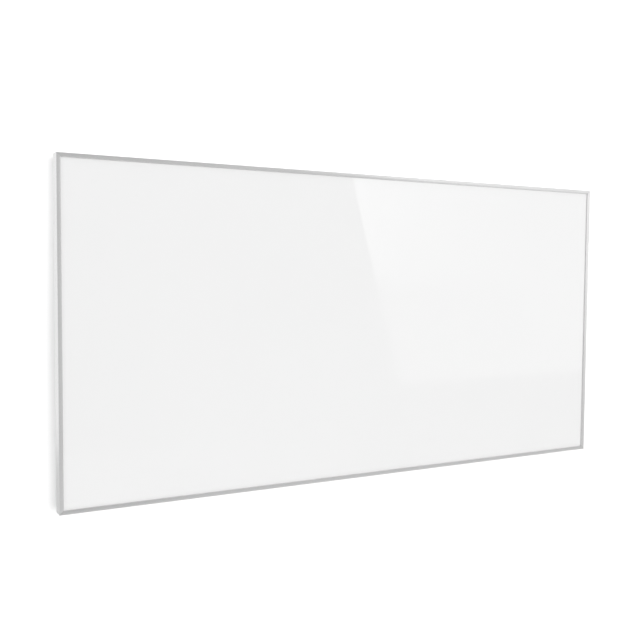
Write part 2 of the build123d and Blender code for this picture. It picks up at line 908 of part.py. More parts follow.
def wall_standoff(x, z):
    """A standoff: a hexagonal body, a neck that carries the keyhole, and a countersunk head."""
    shoulder = crown_outer - hanging_clearance
    head_back = crown_inner + hanging_clearance
    head_front = head_back + head_thickness
    countersink_width = countersink_radius - wall_screw_radius - countersink_ledge
    countersink_depth = countersink_width / tan(radians(countersink_angle / 2))
    with BuildPart() as standoff:
        with BuildSketch(room_plane(0, x, z)):
            hexagon(standoff_across)
        extrude(amount=shoulder)
        with BuildSketch(room_plane(shoulder, x, z)):
            Circle(neck_radius)
        extrude(amount=head_back - shoulder)
        with BuildSketch(room_plane(head_back, x, z)):
            peg(head_radius, turned_sides)
        extrude(amount=head_thickness)
        with BuildSketch(room_plane(0, x, z)):
            Circle(wall_screw_radius)
        extrude(amount=head_front, mode=Mode.SUBTRACT)
        with BuildSketch(room_plane(head_front, x, z)):
            hole(wall_screw_radius + countersink_ledge)
        extrude(amount=-countersink_depth - countersink_ledge, mode=Mode.SUBTRACT)
        head_end = standoff.faces().sort_by(Axis.Y).first
        chamfer(
            head_end.inner_wires()[0].edges(),
            length=countersink_width,
            length2=countersink_depth,
            reference=head_end,
        )
    return standoff


for corner, (x, z) in hang_places.items():
    bracket = hanger_bracket(x, z)
    bracket.part.label = f"hanger_bracket_{corner}"
    export_step(bracket.part, f"parts/hanger_bracket_{corner}.step")
    standoff = wall_standoff(x, z)
    standoff.part.label = f"wall_standoff_{corner}"
    export_step(standoff.part, f"parts/wall_standoff_{corner}.step")


# ---------------------------------------------------------------------------
# Junction box
# ---------------------------------------------------------------------------

terminal_base = box_floor_reach
terminal_top = terminal_base - terminal_height
wire_reach = terminal_base - terminal_height / 2 + terminal_shoulder
terminal_width = pole_count * terminal_pitch
pole_xs = [terminal_x + (i - (pole_count - 1) / 2) * terminal_pitch for i in range(pole_count)]
fixing_places = [
    (terminal_x + side * terminal_pitch / 2, box_z + terminal_z) for side in (-1, 1)
]
earth_place = (earth_x, box_z + earth_z)
earth_window_width = 2 * (earth_tag_radius + lid_lip_clearance)
earth_window_height = 2 * (earth_tag_radius + lid_lip_clearance) + earth_tag_neck
earth_window_rise = earth_tag_neck / 2
gland_plane = Plane(
    origin=(terminal_x, -gland_reach, box_bottom), x_dir=(1, 0, 0), z_dir=(0, 0, -1)
)

with BuildPart() as junction_box_base:
    with BuildSketch(room_plane(wall_gap, box_x, box_z)):
        RectangleRounded(box_width, box_height, box_corner_radius)
    extrude(amount=-box_depth)
    with BuildSketch(room_plane(wall_gap, box_x, box_z)):
        RectangleRounded(box_width + 2 * box_lug, box_lug_width, box_lug_corner_radius)
    extrude(amount=-box_lug_thickness)
    with BuildSketch(room_plane(box_floor_reach, box_x, box_z)):
        Rectangle(box_width - 2 * box_wall, box_height - 2 * box_wall)
        with GridLocations(box_width - box_post_width, box_height - box_post_width, 2, 2):
            Rectangle(box_post_width, box_post_width, mode=Mode.SUBTRACT)
    extrude(amount=-(box_depth - box_floor), mode=Mode.SUBTRACT)
    with BuildSketch(room_plane(wall_gap)):
        with Locations(*box_rivet_places):
            shank_hole(rivet_radius + rivet_fit)
    extrude(amount=-box_lug_thickness, mode=Mode.SUBTRACT)
    with BuildSketch(room_plane(box_mouth)):
        with Locations(*lid_screw_places):
            shank_hole(lid_screw_radius + screw_fit)
    extrude(amount=lid_screw_length, mode=Mode.SUBTRACT)
    with BuildSketch(room_plane(wall_gap)):
        with Locations(grommet_place):
            hole(grommet_flange_radius + lid_lip_clearance)
        with Locations((earth_place[0], earth_place[1] + earth_window_rise)):
            Rectangle(earth_window_width, earth_window_height)
        with Locations(*fixing_places):
            shank_hole(terminal_fixing_radius + screw_fit)
    extrude(amount=-box_floor, mode=Mode.SUBTRACT)
    with BuildSketch(gland_plane):
        hole(gland_thread_radius + gland_wall_clearance)
    extrude(amount=-box_wall, mode=Mode.SUBTRACT)
junction_box_base.part.label = "junction_box_base"
export_step(junction_box_base.part, "parts/junction_box_base.step")

with BuildPart() as junction_box_lid:
    lip_outer_width = box_width - 2 * (box_wall + lid_lip_clearance)
    lip_outer_height = box_height - 2 * (box_wall + lid_lip_clearance)
    with BuildSketch(room_plane(box_mouth, box_x, box_z)):
        RectangleRounded(box_width, box_height, box_corner_radius)
    extrude(amount=-lid_thickness)
    outer_rim = junction_box_lid.faces().sort_by(Axis.Y)[-1].edges()
    chamfer(outer_rim, lid_edge)
    with BuildSketch(room_plane(box_mouth, box_x, box_z)):
        Rectangle(lip_outer_width, lip_outer_height)
        Rectangle(
            lip_outer_width - 2 * lid_lip_width,
            lip_outer_height - 2 * lid_lip_width,
            mode=Mode.SUBTRACT,
        )
    extrude(amount=lid_lip_height)
    with BuildSketch(room_plane(box_mouth, box_x, box_z)):
        with GridLocations(box_width - box_post_width, box_height - box_post_width, 2, 2):
            Rectangle(box_post_width + 2 * lid_lip_clearance, box_post_width + 2 * lid_lip_clearance)
    extrude(amount=lid_lip_height, mode=Mode.SUBTRACT)
    with BuildSketch(room_plane(box_mouth - lid_thickness)):
        with Locations(*lid_screw_places):
            hole(lid_screw_head_radius + screw_plate_clearance)
    extrude(amount=lid_screw_sink, mode=Mode.SUBTRACT)
    with BuildSketch(room_plane(box_mouth - lid_thickness)):
        with Locations(*lid_screw_places):
            shank_hole(lid_screw_radius + screw_plate_clearance)
    extrude(amount=lid_thickness + lid_lip_height, mode=Mode.SUBTRACT)
junction_box_lid.part.label = "junction_box_lid"
export_step(junction_box_lid.part, "parts/junction_box_lid.step")

lid_screws = pan_head_screws(
    lid_screw_places,
    box_mouth - lid_thickness + lid_screw_sink,
    lid_screw_radius,
    lid_screw_length,
    lid_screw_head_radius,
    lid_screw_head_height,
)
lid_screws.part.label = "junction_box_lid_screws"
export_step(lid_screws.part, "parts/junction_box_lid_screws.step")


# ---------------------------------------------------------------------------
# Terminal block
# ---------------------------------------------------------------------------

clamp_screw_places = [
    (x, box_z + terminal_z + up * clamp_screw_spread / 2) for x in pole_xs for up in (-1, 1)
]
clamp_radius = terminal_bore_radius - lead_fit
clamp_bore_radius = clamp_radius - clamp_wall


def pole_plane(x):
    """A level plane through a pole's middle, square to the wires."""
    return Plane(
        origin=(x, -wire_reach, box_z + terminal_z), x_dir=(1, 0, 0), z_dir=(0, 0, 1)
    )


with BuildPart() as terminal_block:
    with BuildSketch(room_plane(terminal_base, terminal_x, box_z + terminal_z)):
        Rectangle(terminal_width, terminal_length)
    extrude(amount=-(terminal_height - terminal_step))
    with BuildSketch(room_plane(terminal_top + terminal_step, terminal_x, box_z + terminal_z)):
        with GridLocations(terminal_pitch, terminal_length, pole_count, 1):
            Rectangle(terminal_pitch - terminal_step / 2, terminal_length - terminal_step)
    extrude(amount=-terminal_step)
    for x in pole_xs:
        with BuildSketch(pole_plane(x)):
            hole(terminal_bore_radius, shank_sides)
        extrude(amount=terminal_length / 2, both=True, mode=Mode.SUBTRACT)
    with BuildSketch(room_plane(terminal_top)):
        with Locations(*clamp_screw_places):
            hole(clamp_screw_well_radius, shank_sides)
    extrude(amount=wire_reach - terminal_top, mode=Mode.SUBTRACT)
    with BuildSketch(room_plane(terminal_base)):
        with Locations(*fixing_places):
            shank_hole(terminal_fixing_radius + screw_plate_clearance)
    extrude(amount=-terminal_height, mode=Mode.SUBTRACT)
    with BuildSketch(room_plane(terminal_top)):
        with Locations(*fixing_places):
            hole(terminal_fixing_head_radius + screw_plate_clearance)
    extrude(amount=terminal_fixing_sink, mode=Mode.SUBTRACT)
terminal_block.part.label = "terminal_block"
export_step(terminal_block.part, "parts/terminal_block.step")

with BuildPart() as terminal_clamps:
    for x in pole_xs:
        with BuildSketch(pole_plane(x)):
            peg(clamp_radius, shank_sides)
            shank_hole(clamp_bore_radius, mode=Mode.SUBTRACT)
        extrude(amount=clamp_length / 2, both=True)
    with BuildSketch(room_plane(wire_reach)):
        with Locations(*clamp_screw_places):
            shank_hole(clamp_screw_radius + screw_fit)
    extrude(amount=-(clamp_radius + clamp_wall), mode=Mode.SUBTRACT)
terminal_clamps.part.label = "terminal_clamps"
export_step(terminal_clamps.part, "parts/terminal_clamps.step")

clamp_screw_tip = wire_reach - lead_radius - lead_fit
with BuildPart() as terminal_screws:
    with BuildSketch(room_plane(clamp_screw_tip)):
        with Locations(*clamp_screw_places):
            shank(clamp_screw_radius)
    extrude(amount=-clamp_screw_length)
    with BuildSketch(room_plane(clamp_screw_tip - clamp_screw_length)):
        with Locations(*clamp_screw_places):
            peg(clamp_screw_well_radius - screw_fit, shank_sides)
    extrude(amount=-terminal_step / 2)
terminal_screws.part.label = "terminal_screws"
export_step(terminal_screws.part, "parts/terminal_screws.step")

terminal_fixing_screws = pan_head_screws(
    fixing_places,
    terminal_top + terminal_fixing_sink,
    terminal_fixing_radius,
    wall_gap - terminal_top - terminal_fixing_sink - lid_lip_clearance,
    terminal_fixing_head_radius,
    terminal_fixing_head_height,
)
terminal_fixing_screws.part.label = "terminal_fixing_screws"
export_step(terminal_fixing_screws.part, "parts/terminal_fixing_screws.step")


# ---------------------------------------------------------------------------
# Earth stud, ring tag and nut
# ---------------------------------------------------------------------------

tag_back = wall_gap - earth_tag_thickness
tag_bend = earth_place[1] + earth_tag_radius + earth_tag_neck
tag_barrel_plane = Plane(
    origin=(earth_place[0], -wire_reach, tag_bend), x_dir=(1, 0, 0), z_dir=(0, 0, 1)
)

with BuildPart() as earth_stud:
    with BuildSketch(room_plane(wall_gap, *earth_place)):
        shank(earth_stud_radius)
    extrude(amount=-earth_stud_length)
earth_stud.part.label = "earth_stud"
export_step(earth_stud.part, "parts/earth_stud.step")

with BuildPart() as earth_tag:
    with BuildSketch(room_plane(wall_gap, *earth_place)):
        peg(earth_tag_radius)
        with Locations((0, (earth_tag_radius + earth_tag_neck) / 2)):
            Rectangle(earth_tag_width, earth_tag_radius + earth_tag_neck)
        shank_hole(earth_stud_radius + screw_fit, mode=Mode.SUBTRACT)
    extrude(amount=-earth_tag_thickness)
    with BuildSketch(upright_plane(earth_place[0])):
        with BuildLine():
            Polyline(
                (wall_gap, tag_bend - earth_tag_thickness),
                (wall_gap, tag_bend),
                (wire_reach - barrel_radius, tag_bend),
                (wire_reach - barrel_radius, tag_bend - earth_tag_thickness),
                close=True,
            )
        make_face()
    extrude(amount=earth_tag_width / 2, both=True)
    with BuildSketch(tag_barrel_plane):
        peg(barrel_radius)
        shank_hole(lead_radius + lead_fit, mode=Mode.SUBTRACT)
    extrude(amount=earth_tag_barrel)
earth_tag.part.label = "earth_tag"
export_step(earth_tag.part, "parts/earth_tag.step")

with BuildPart() as earth_nut:
    with BuildSketch(room_plane(tag_back, *earth_place)):
        hexagon(earth_nut_across)
        shank_hole(earth_stud_radius + screw_fit, mode=Mode.SUBTRACT)
    extrude(amount=-earth_nut_height)
earth_nut.part.label = "earth_nut"
export_step(earth_nut.part, "parts/earth_nut.step")


# ---------------------------------------------------------------------------
# Cable gland in the lower wall of the box. Down the gland, "drop" is the distance below the box.
# ---------------------------------------------------------------------------

collar_end = gland_hex_height + gland_collar_length
seal_start = collar_end - gland_seal_length
dome_start = gland_hex_height + gland_dome_start
dome_skirt_end = dome_start + gland_dome_skirt
dome_height = gland_dome_length - gland_dome_skirt
thread_top = -box_wall - gland_thread_length

with BuildPart() as gland_body:
    with BuildSketch(gland_plane.offset(thread_top)):
        peg(gland_thread_radius)
    extrude(amount=-thread_top)
    with BuildSketch(gland_plane):
        hexagon(gland_hex_across)
    extrude(amount=gland_hex_height)
    with BuildSketch(gland_plane.offset(gland_hex_height)):
        peg(gland_collar_radius)
    extrude(amount=gland_collar_length)
    with BuildSketch(gland_plane.offset(thread_top)):
        hole(gland_seal_radius + gland_fit)
    extrude(amount=collar_end - thread_top, mode=Mode.SUBTRACT)
gland_body.part.label = "cable_gland_body"
export_step(gland_body.part, "parts/cable_gland_body.step")

with BuildPart() as gland_locknut:
    with BuildSketch(gland_plane.offset(-box_wall)):
        hexagon(gland_hex_across)
        hole(gland_thread_radius + gland_fit, mode=Mode.SUBTRACT)
    extrude(amount=-gland_nut_height)
gland_locknut.part.label = "cable_gland_locknut"
export_step(gland_locknut.part, "parts/cable_gland_locknut.step")

with BuildPart() as gland_seal:
    with BuildSketch(gland_plane.offset(seal_start)):
        peg(gland_seal_radius)
        Circle(cord_bore_radius, mode=Mode.SUBTRACT)
    extrude(amount=gland_seal_length)
gland_seal.part.label = "cable_gland_seal"
export_step(gland_seal.part, "parts/cable_gland_seal.step")

with BuildPart() as gland_dome_nut:
    with BuildSketch(gland_plane.offset(dome_start)):
        hexagon(gland_hex_across)
    extrude(amount=gland_dome_skirt)
    with BuildSketch(gland_plane.offset(dome_skirt_end)):
        peg(gland_dome_root_radius, turned_sides)
    extrude(amount=dome_height)
    flat_tip = gland_dome_nut.faces().sort_by(Axis.Z).first
    chamfer(
        flat_tip.edges(),
        length=gland_dome_draw_in,
        length2=dome_height * gland_dome_flank_share,
        reference=flat_tip,
    )
    drawn_tip = gland_dome_nut.faces().sort_by(Axis.Z).first
    chamfer(drawn_tip.edges(), length=gland_dome_tip_chamfer)
    with BuildSketch(gland_plane.offset(dome_start)):
        hole(gland_collar_radius + gland_fit)
    extrude(amount=collar_end - dome_start + gland_fit, mode=Mode.SUBTRACT)
    with BuildSketch(gland_plane.offset(dome_start)):
        Circle(gland_dome_mouth_radius)
    extrude(amount=gland_dome_length, mode=Mode.SUBTRACT)
gland_dome_nut.part.label = "cable_gland_dome_nut"
export_step(gland_dome_nut.part, "parts/cable_gland_dome_nut.step")


# ---------------------------------------------------------------------------
# Grommet and inner leads
# ---------------------------------------------------------------------------

with BuildPart() as lead_grommet:
    with BuildSketch(room_plane(wall_gap, *grommet_place)):
        peg(grommet_flange_radius)
    extrude(amount=-grommet_flange_thickness)
    with BuildSketch(room_plane(wall_gap, *grommet_place)):
        peg(grommet_plate_radius)
    extrude(amount=back_plate_thickness)
    with BuildSketch(room_plane(plate_front, *grommet_place)):
        peg(grommet_flange_radius)
    extrude(amount=grommet_flange_thickness)
    with BuildSketch(room_plane(wall_gap - grommet_flange_thickness, *grommet_place)):
        hole(grommet_bore_radius)
    extrude(amount=2 * grommet_flange_thickness + back_plate_thickness, mode=Mode.SUBTRACT)
lead_grommet.part.label = "lead_grommet"
export_step(lead_grommet.part, "parts/lead_grommet.step")

wire_start_z = box_z + terminal_z + lead_fit
tag_end_z = tag_bend + lead_fit
earth_turn_z = box_z + terminal_z + terminal_length / 2 + lead_turn_rise
lower_sleeve_z = cutout_z - cutout_half - lead_fit
upper_sleeve_z = cutout_z + cutout_half + lead_fit
tab_end = busbar_offset + tab_barrel_length / 2 - lead_fit
earth_pole, live_pole, neutral_pole = pole_xs

# Each route is a list of (x, z, reach).
lead_routes = {
    "live_lead": [
        (live_pole, wire_start_z, wire_reach),
        (live_pole, live_grommet_z, wire_reach),
        (lead_x, live_grommet_z, wire_reach),
        (lead_x, live_grommet_z, channel_reach),
        (lead_x, rise_lower, channel_reach),
        (lead_x, rise_lower, cutout_middle),
        (lead_x, lower_sleeve_z, cutout_middle),
    ],
    "link_lead": [
        (lead_x, upper_sleeve_z, cutout_middle),
        (lead_x, rise_upper, cutout_middle),
        (lead_x, rise_upper, channel_reach),
        (lead_x, tab_approach, channel_reach),
        (lead_x, tab_approach, barrel_reach),
        (lead_x, tab_end, barrel_reach),
    ],
    "neutral_lead": [
        (neutral_pole, wire_start_z, wire_reach),
        (neutral_pole, neutral_grommet_z, wire_reach),
        (lead_x, neutral_grommet_z, wire_reach),
        (lead_x, neutral_grommet_z, channel_reach),
        (lead_x, -tab_approach, channel_reach),
        (lead_x, -tab_approach, barrel_reach),
        (lead_x, -tab_end, barrel_reach),
    ],
    "earth_lead": [
        (earth_pole, wire_start_z, wire_reach),
        (earth_pole, earth_turn_z, wire_reach),
        (earth_place[0], earth_turn_z, wire_reach),
        (earth_place[0], tag_end_z, wire_reach),
    ],
}


def eased_route(route):
    """The points of a lead's way, with each corner of the route cut off at the bend's length."""
    points = [Vector(x, -reach, z) for x, z, reach in route]
    eased = [points[0]]
    for before, corner, after in zip(points, points[1:], points[2:]):
        eased.append(corner + (before - corner).normalized() * lead_bend)
        eased.append(corner + (after - corner).normalized() * lead_bend)
    eased.append(points[-1])
    return eased


for name, route in lead_routes.items():
    with BuildPart() as lead:
        with BuildLine() as path:
            Polyline(*eased_route(route))
        with BuildSketch(Plane(origin=path.line @ 0, z_dir=path.line % 0)):
            shank(lead_radius)
        sweep(transition=Transition.RIGHT)
    lead.part.label = name
    export_step(lead.part, f"parts/{name}.step")
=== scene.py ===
import json
from math import cos, pi, radians, sin, tan

import bmesh
import bpy
from mathutils import Matrix, Vector


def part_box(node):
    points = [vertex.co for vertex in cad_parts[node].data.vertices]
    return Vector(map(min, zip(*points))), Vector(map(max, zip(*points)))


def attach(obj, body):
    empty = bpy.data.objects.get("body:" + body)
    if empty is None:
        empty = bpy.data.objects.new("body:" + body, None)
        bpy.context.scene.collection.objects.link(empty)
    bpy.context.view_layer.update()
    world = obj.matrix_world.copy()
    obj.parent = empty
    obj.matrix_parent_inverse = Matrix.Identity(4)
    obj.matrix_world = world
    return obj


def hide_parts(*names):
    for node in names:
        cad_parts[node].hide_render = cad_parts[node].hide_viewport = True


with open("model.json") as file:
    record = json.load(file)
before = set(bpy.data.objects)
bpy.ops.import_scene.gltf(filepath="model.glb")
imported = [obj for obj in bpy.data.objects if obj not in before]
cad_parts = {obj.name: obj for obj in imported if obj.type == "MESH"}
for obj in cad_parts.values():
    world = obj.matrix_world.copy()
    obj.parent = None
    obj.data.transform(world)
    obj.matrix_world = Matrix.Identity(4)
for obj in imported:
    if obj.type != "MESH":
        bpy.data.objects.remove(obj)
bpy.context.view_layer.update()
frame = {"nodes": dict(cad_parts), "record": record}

# ---------------------------------------------------------------------------
# Camera: fitted to the photograph, in a picture of 640 x 640
# ---------------------------------------------------------------------------

IMAGE_SIZE = 640
FOCAL_LENGTH_PX = 848.75
SENSOR_WIDTH = 36.0
CAMERA_PLACE = Vector((-0.8941, -1.4764, 0.1069))
CAMERA_YAW = radians(28.851)
CAMERA_PITCH = radians(-3.179)
CAMERA_ROLL = radians(0.438)


def camera_axes():
    """The camera's right, up and forward directions."""
    forward = Vector(
        (
            sin(CAMERA_YAW) * cos(CAMERA_PITCH),
            cos(CAMERA_YAW) * cos(CAMERA_PITCH),
            sin(CAMERA_PITCH),
        )
    )
    level = Vector((cos(CAMERA_YAW), -sin(CAMERA_YAW), 0))
    upright = level.cross(forward)
    right = level * cos(CAMERA_ROLL) + upright * sin(CAMERA_ROLL)
    up = upright * cos(CAMERA_ROLL) - level * sin(CAMERA_ROLL)
    return right, up, forward


def make_camera():
    """The photograph's camera, as fitted."""
    right, up, forward = camera_axes()
    data = bpy.data.cameras.new("camera")
    data.sensor_width = SENSOR_WIDTH
    data.lens = FOCAL_LENGTH_PX / IMAGE_SIZE * SENSOR_WIDTH
    camera = bpy.data.objects.new("camera", data)
    turn = Matrix((right, up, -forward)).transposed().to_4x4()
    camera.matrix_world = Matrix.Translation(CAMERA_PLACE) @ turn
    bpy.context.scene.collection.objects.link(camera)
    bpy.context.scene.camera = camera


def on_plane_y(pixel, y):
    """The point of the plane at y that the camera sees at a pixel."""
    right, up, forward = camera_axes()
    across = (pixel[0] - IMAGE_SIZE / 2) / FOCAL_LENGTH_PX
    along = (IMAGE_SIZE / 2 - pixel[1]) / FOCAL_LENGTH_PX
    ray = forward + right * across + up * along
    return CAMERA_PLACE + ray * ((y - CAMERA_PLACE.y) / ray.y)


make_camera()
bpy.context.scene.view_settings.view_transform = "Standard"


# ---------------------------------------------------------------------------
# Materials
# ---------------------------------------------------------------------------


def start_material(name):
    """A new node material, with its tree and its Principled shader."""
    material = bpy.data.materials.new(name)
    material.use_nodes = True
    tree = material.node_tree
    return material, tree, tree.nodes["Principled BSDF"]


def stretched_noise(tree, scale, stretch=(1, 1, 1), detail=4.0):
    """A noise in the object's own coordinates, drawn out along one or two axes."""
    place = tree.nodes.new("ShaderNodeTexCoord")
    mapping = tree.nodes.new("ShaderNodeMapping")
    mapping.inputs["Scale"].default_value = stretch
    noise = tree.nodes.new("ShaderNodeTexNoise")
    noise.inputs["Scale"].default_value = scale
    noise.inputs["Detail"].default_value = detail
    tree.links.new(place.outputs["Object"], mapping.inputs["Vector"])
    tree.links.new(mapping.outputs["Vector"], noise.inputs["Vector"])
    return noise.outputs["Fac"]


def two_tones(tree, factor, dark, light, low=0.3, high=0.7):
    """A colour between two tones, by a factor."""
    ramp = tree.nodes.new("ShaderNodeValToRGB")
    ramp.color_ramp.elements[0].position = low
    ramp.color_ramp.elements[0].color = (*dark, 1)
    ramp.color_ramp.elements[1].position = high
    ramp.color_ramp.elements[1].color = (*light, 1)
    tree.links.new(factor, ramp.inputs["Fac"])
    return ramp.outputs["Color"]


def spread(tree, factor, low, high):
    """A value between two limits, by a factor."""
    ranged = tree.nodes.new("ShaderNodeMapRange")
    ranged.inputs["To Min"].default_value = low
    ranged.inputs["To Max"].default_value = high
    tree.links.new(factor, ranged.inputs["Value"])
    return ranged.outputs["Result"]


def add_bump(tree, shader, height, strength, distance):
    """A bump of the shader's surface by a height."""
    bump = tree.nodes.new("ShaderNodeBump")
    bump.inputs["Strength"].default_value = strength
    bump.inputs["Distance"].default_value = distance
    tree.links.new(height, bump.inputs["Height"])
    tree.links.new(bump.outputs["Normal"], shader.inputs["Normal"])


def finish(name, dark, light, scale, rough, metallic=0.0, stretch=(1, 1, 1), bump=0.2, depth=2e-5):
    """A finish of two close tones, a roughness and a bump that follow one stretched noise."""
    material, tree, shader = start_material(name)
    noise = stretched_noise(tree, scale, stretch)
    tree.links.new(two_tones(tree, noise, dark, light), shader.inputs["Base Color"])
    tree.links.new(spread(tree, noise, *rough), shader.inputs["Roughness"])
    shader.inputs["Metallic"].default_value = metallic
    add_bump(tree, shader, noise, bump, depth)
    return material


def grey(value):
    """A neutral colour."""
    return (value, value, value)


GLASS_IOR = 1.5


def white_glass():
    """Tempered glass, printed white on its back: an even white under a clear gloss."""
    material, tree, shader = start_material("white_glass")
    print_noise = stretched_noise(tree, scale=3.0, detail=2.0)
    tone = two_tones(tree, print_noise, dark=grey(0.824), light=grey(0.832))
    tree.links.new(tone, shader.inputs["Base Color"])
    shader.inputs["Roughness"].default_value = 0.02
    shader.inputs["IOR"].default_value = GLASS_IOR
    shader.inputs["Coat Weight"].default_value = 1.0
    shader.inputs["Coat Roughness"].default_value = 0.01
    shader.inputs["Coat IOR"].default_value = GLASS_IOR
    waves = stretched_noise(tree, scale=1.6, stretch=(1, 1, 0.4), detail=1.0)
    add_bump(tree, shader, waves, strength=0.05, distance=2e-4)
    return material


def anodised(name, grain):
    """Satin anodised aluminium, with a fine grain drawn out along the extrusion."""
    material, tree, shader = start_material(name)
    lines = stretched_noise(tree, scale=900.0, stretch=grain, detail=3.0)
    clouds = stretched_noise(tree, scale=14.0, detail=3.0)
    tone = two_tones(tree, clouds, dark=(0.785, 0.785, 0.786), light=(0.815, 0.815, 0.816))
    tree.links.new(tone, shader.inputs["Base Color"])
    tree.links.new(spread(tree, lines, low=0.21, high=0.29), shader.inputs["Roughness"])
    shader.inputs["Metallic"].default_value = 1.0
    add_bump(tree, shader, lines, strength=0.10, distance=8e-6)
    return material


def powder_coat():
    """White powder coat on sheet steel, with a fine orange peel."""
    material, tree, shader = start_material("back_plate_steel")
    peel = stretched_noise(tree, scale=900.0, detail=1.0)
    clouds = stretched_noise(tree, scale=6.0)
    tone = two_tones(tree, clouds, dark=(0.70, 0.702, 0.70), light=(0.73, 0.732, 0.73))
    tree.links.new(tone, shader.inputs["Base Color"])
    tree.links.new(spread(tree, peel, low=0.38, high=0.50), shader.inputs["Roughness"])
    add_bump(tree, shader, peel, strength=0.35, distance=6e-5)
    return material


def galvanised():
    """Galvanised sheet: crystals of slightly different greys."""
    material, tree, shader = start_material("bracket_steel")
    place = tree.nodes.new("ShaderNodeTexCoord")
    cells = tree.nodes.new("ShaderNodeTexVoronoi")
    cells.inputs["Scale"].default_value = 260.0
    tree.links.new(place.outputs["Object"], cells.inputs["Vector"])
    split = tree.nodes.new("ShaderNodeSeparateColor")
    tree.links.new(cells.outputs["Color"], split.inputs["Color"])
    dark, light = (0.60, 0.61, 0.625), (0.72, 0.73, 0.74)
    tone = two_tones(tree, split.outputs["Red"], dark, light, low=0.0, high=1.0)
    tree.links.new(tone, shader.inputs["Base Color"])
    rough = spread(tree, split.outputs["Green"], low=0.30, high=0.48)
    tree.links.new(rough, shader.inputs["Roughness"])
    shader.inputs["Metallic"].default_value = 1.0
    return material


MOULDED_DARK_SHARE = 0.97
MOULDED_ROUGH_SPREAD = 0.05


def moulded(name, tone, rough=0.5):
    """Moulded plastic with a fine spark-eroded texture."""
    dark = tuple(value * MOULDED_DARK_SHARE for value in tone)
    limits = (rough - MOULDED_ROUGH_SPREAD, rough + MOULDED_ROUGH_SPREAD)
    return finish(name, dark, tone, scale=1400.0, rough=limits, bump=0.35, depth=3e-5)


def striped_lead():
    """Earth lead: green insulation with yellow stripes."""
    material, tree, shader = start_material("lead_green_yellow")
    place = tree.nodes.new("ShaderNodeTexCoord")
    wave = tree.nodes.new("ShaderNodeTexWave")
    wave.inputs["Scale"].default_value = 220.0
    wave.inputs["Distortion"].default_value = 0.4
    tree.links.new(place.outputs["Object"], wave.inputs["Vector"])
    green, yellow = (0.05, 0.30, 0.06), (0.75, 0.62, 0.04)
    tone = two_tones(tree, wave.outputs["Fac"], green, yellow, low=0.48, high=0.52)
    tree.links.new(tone, shader.inputs["Base Color"])
    shader.inputs["Roughness"].default_value = 0.4
    return material


# How a noise is drawn out along a grain
ALONG_X = (0.012, 1, 1)
ALONG_Z = (1, 1, 0.012)
TURNING_MARKS = (0.15, 1, 0.15)


def metal(name, dark, light, scale, rough, **more):
    """A finish of bare metal."""
    return finish(name, dark, light, scale, rough, metallic=1.0, **more)


materials = {
    "white_glass": white_glass(),
    "gasket_silicone": finish("gasket_silicone", grey(0.66), grey(0.72), scale=500.0, rough=(0.5, 0.65)),
    "frame_aluminium": anodised("frame_aluminium", ALONG_X),
    "cast_key": metal(
        "cast_key", grey(0.42), grey(0.52), scale=420.0, rough=(0.45, 0.6), bump=0.4, depth=6e-5
    ),
    "zinc_screw": metal(
        "zinc_screw", (0.62, 0.63, 0.64), (0.74, 0.75, 0.76), scale=600.0, rough=(0.22, 0.34)
    ),
    "carbon_film": finish("carbon_film", grey(0.015), grey(0.03), scale=300.0, rough=(0.45, 0.6)),
    "copper": metal(
        "copper", (0.70, 0.33, 0.20), (0.80, 0.42, 0.28), scale=200.0, rough=(0.25, 0.4), stretch=ALONG_X
    ),
    "tinned_brass": metal(
        "tinned_brass", (0.66, 0.64, 0.58), (0.76, 0.74, 0.68), scale=400.0, rough=(0.25, 0.4)
    ),
    "glass_fibre_sheet": finish(
        "glass_fibre_sheet", (0.52, 0.50, 0.30), (0.62, 0.60, 0.42), scale=700.0, rough=(0.4, 0.6)
    ),
    "reflector_foil": metal(
        "reflector_foil", grey(0.78), grey(0.88), scale=60.0, rough=(0.12, 0.3), depth=1e-4
    ),
    "insulation_wool": finish(
        "insulation_wool",
        (0.42, 0.34, 0.16),
        (0.62, 0.54, 0.32),
        scale=380.0,
        rough=(0.85, 1.0),
        bump=0.9,
        depth=4e-4,
    ),
    "cutout_case": metal("cutout_case", grey(0.55), grey(0.66), scale=500.0, rough=(0.25, 0.4)),
    "back_plate_steel": powder_coat(),
    "box_plastic": moulded("box_plastic", (0.70, 0.70, 0.69)),
    "terminal_plastic": moulded("terminal_plastic", (0.80, 0.78, 0.72), rough=0.4),
    "gland_plastic": moulded("gland_plastic", (0.56, 0.57, 0.57), rough=0.42),
    "gland_rubber": moulded("gland_rubber", (0.02, 0.02, 0.02), rough=0.7),
    "lead_brown": moulded("lead_brown", (0.12, 0.045, 0.02), rough=0.4),
    "lead_blue": moulded("lead_blue", (0.02, 0.06, 0.32), rough=0.4),
    "lead_green_yellow": striped_lead(),
    "rivet_aluminium": metal("rivet_aluminium", grey(0.72), grey(0.80), scale=500.0, rough=(0.28, 0.4)),
    "bracket_steel": galvanised(),
    "standoff_steel": metal(
        "standoff_steel",
        (0.64, 0.64, 0.65),
        (0.74, 0.74, 0.75),
        scale=1500.0,
        rough=(0.18, 0.3),
        stretch=TURNING_MARKS,
    ),
}
upright_aluminium = anodised("frame_aluminium_upright", ALONG_Z)

node_slots = {part["node"]: part["material_slot"] for part in frame["record"]["subparts"]}
for node, slot in node_slots.items():
    mesh = frame["nodes"][node].data
    mesh.materials.clear()
    upright = node in ("frame_left", "frame_right")
    mesh.materials.append(upright_aluminium if upright else materials[slot])


# ---------------------------------------------------------------------------
# Small turned and pressed parts, which the solids give in plain form. Sizes are in millimetres.
# ---------------------------------------------------------------------------

MM = 0.001
TURNED_SIDES = 48
SHARP_ANGLE = radians(32)
# How far a tool reaches past the form that it cuts, or one form into another that it joins
OVERSHOOT = 1.0

# In metres: points that are this close are one. Places are sorted by this many digits.
WELD_DISTANCE = 2e-6
SORTED_DIGITS = 4

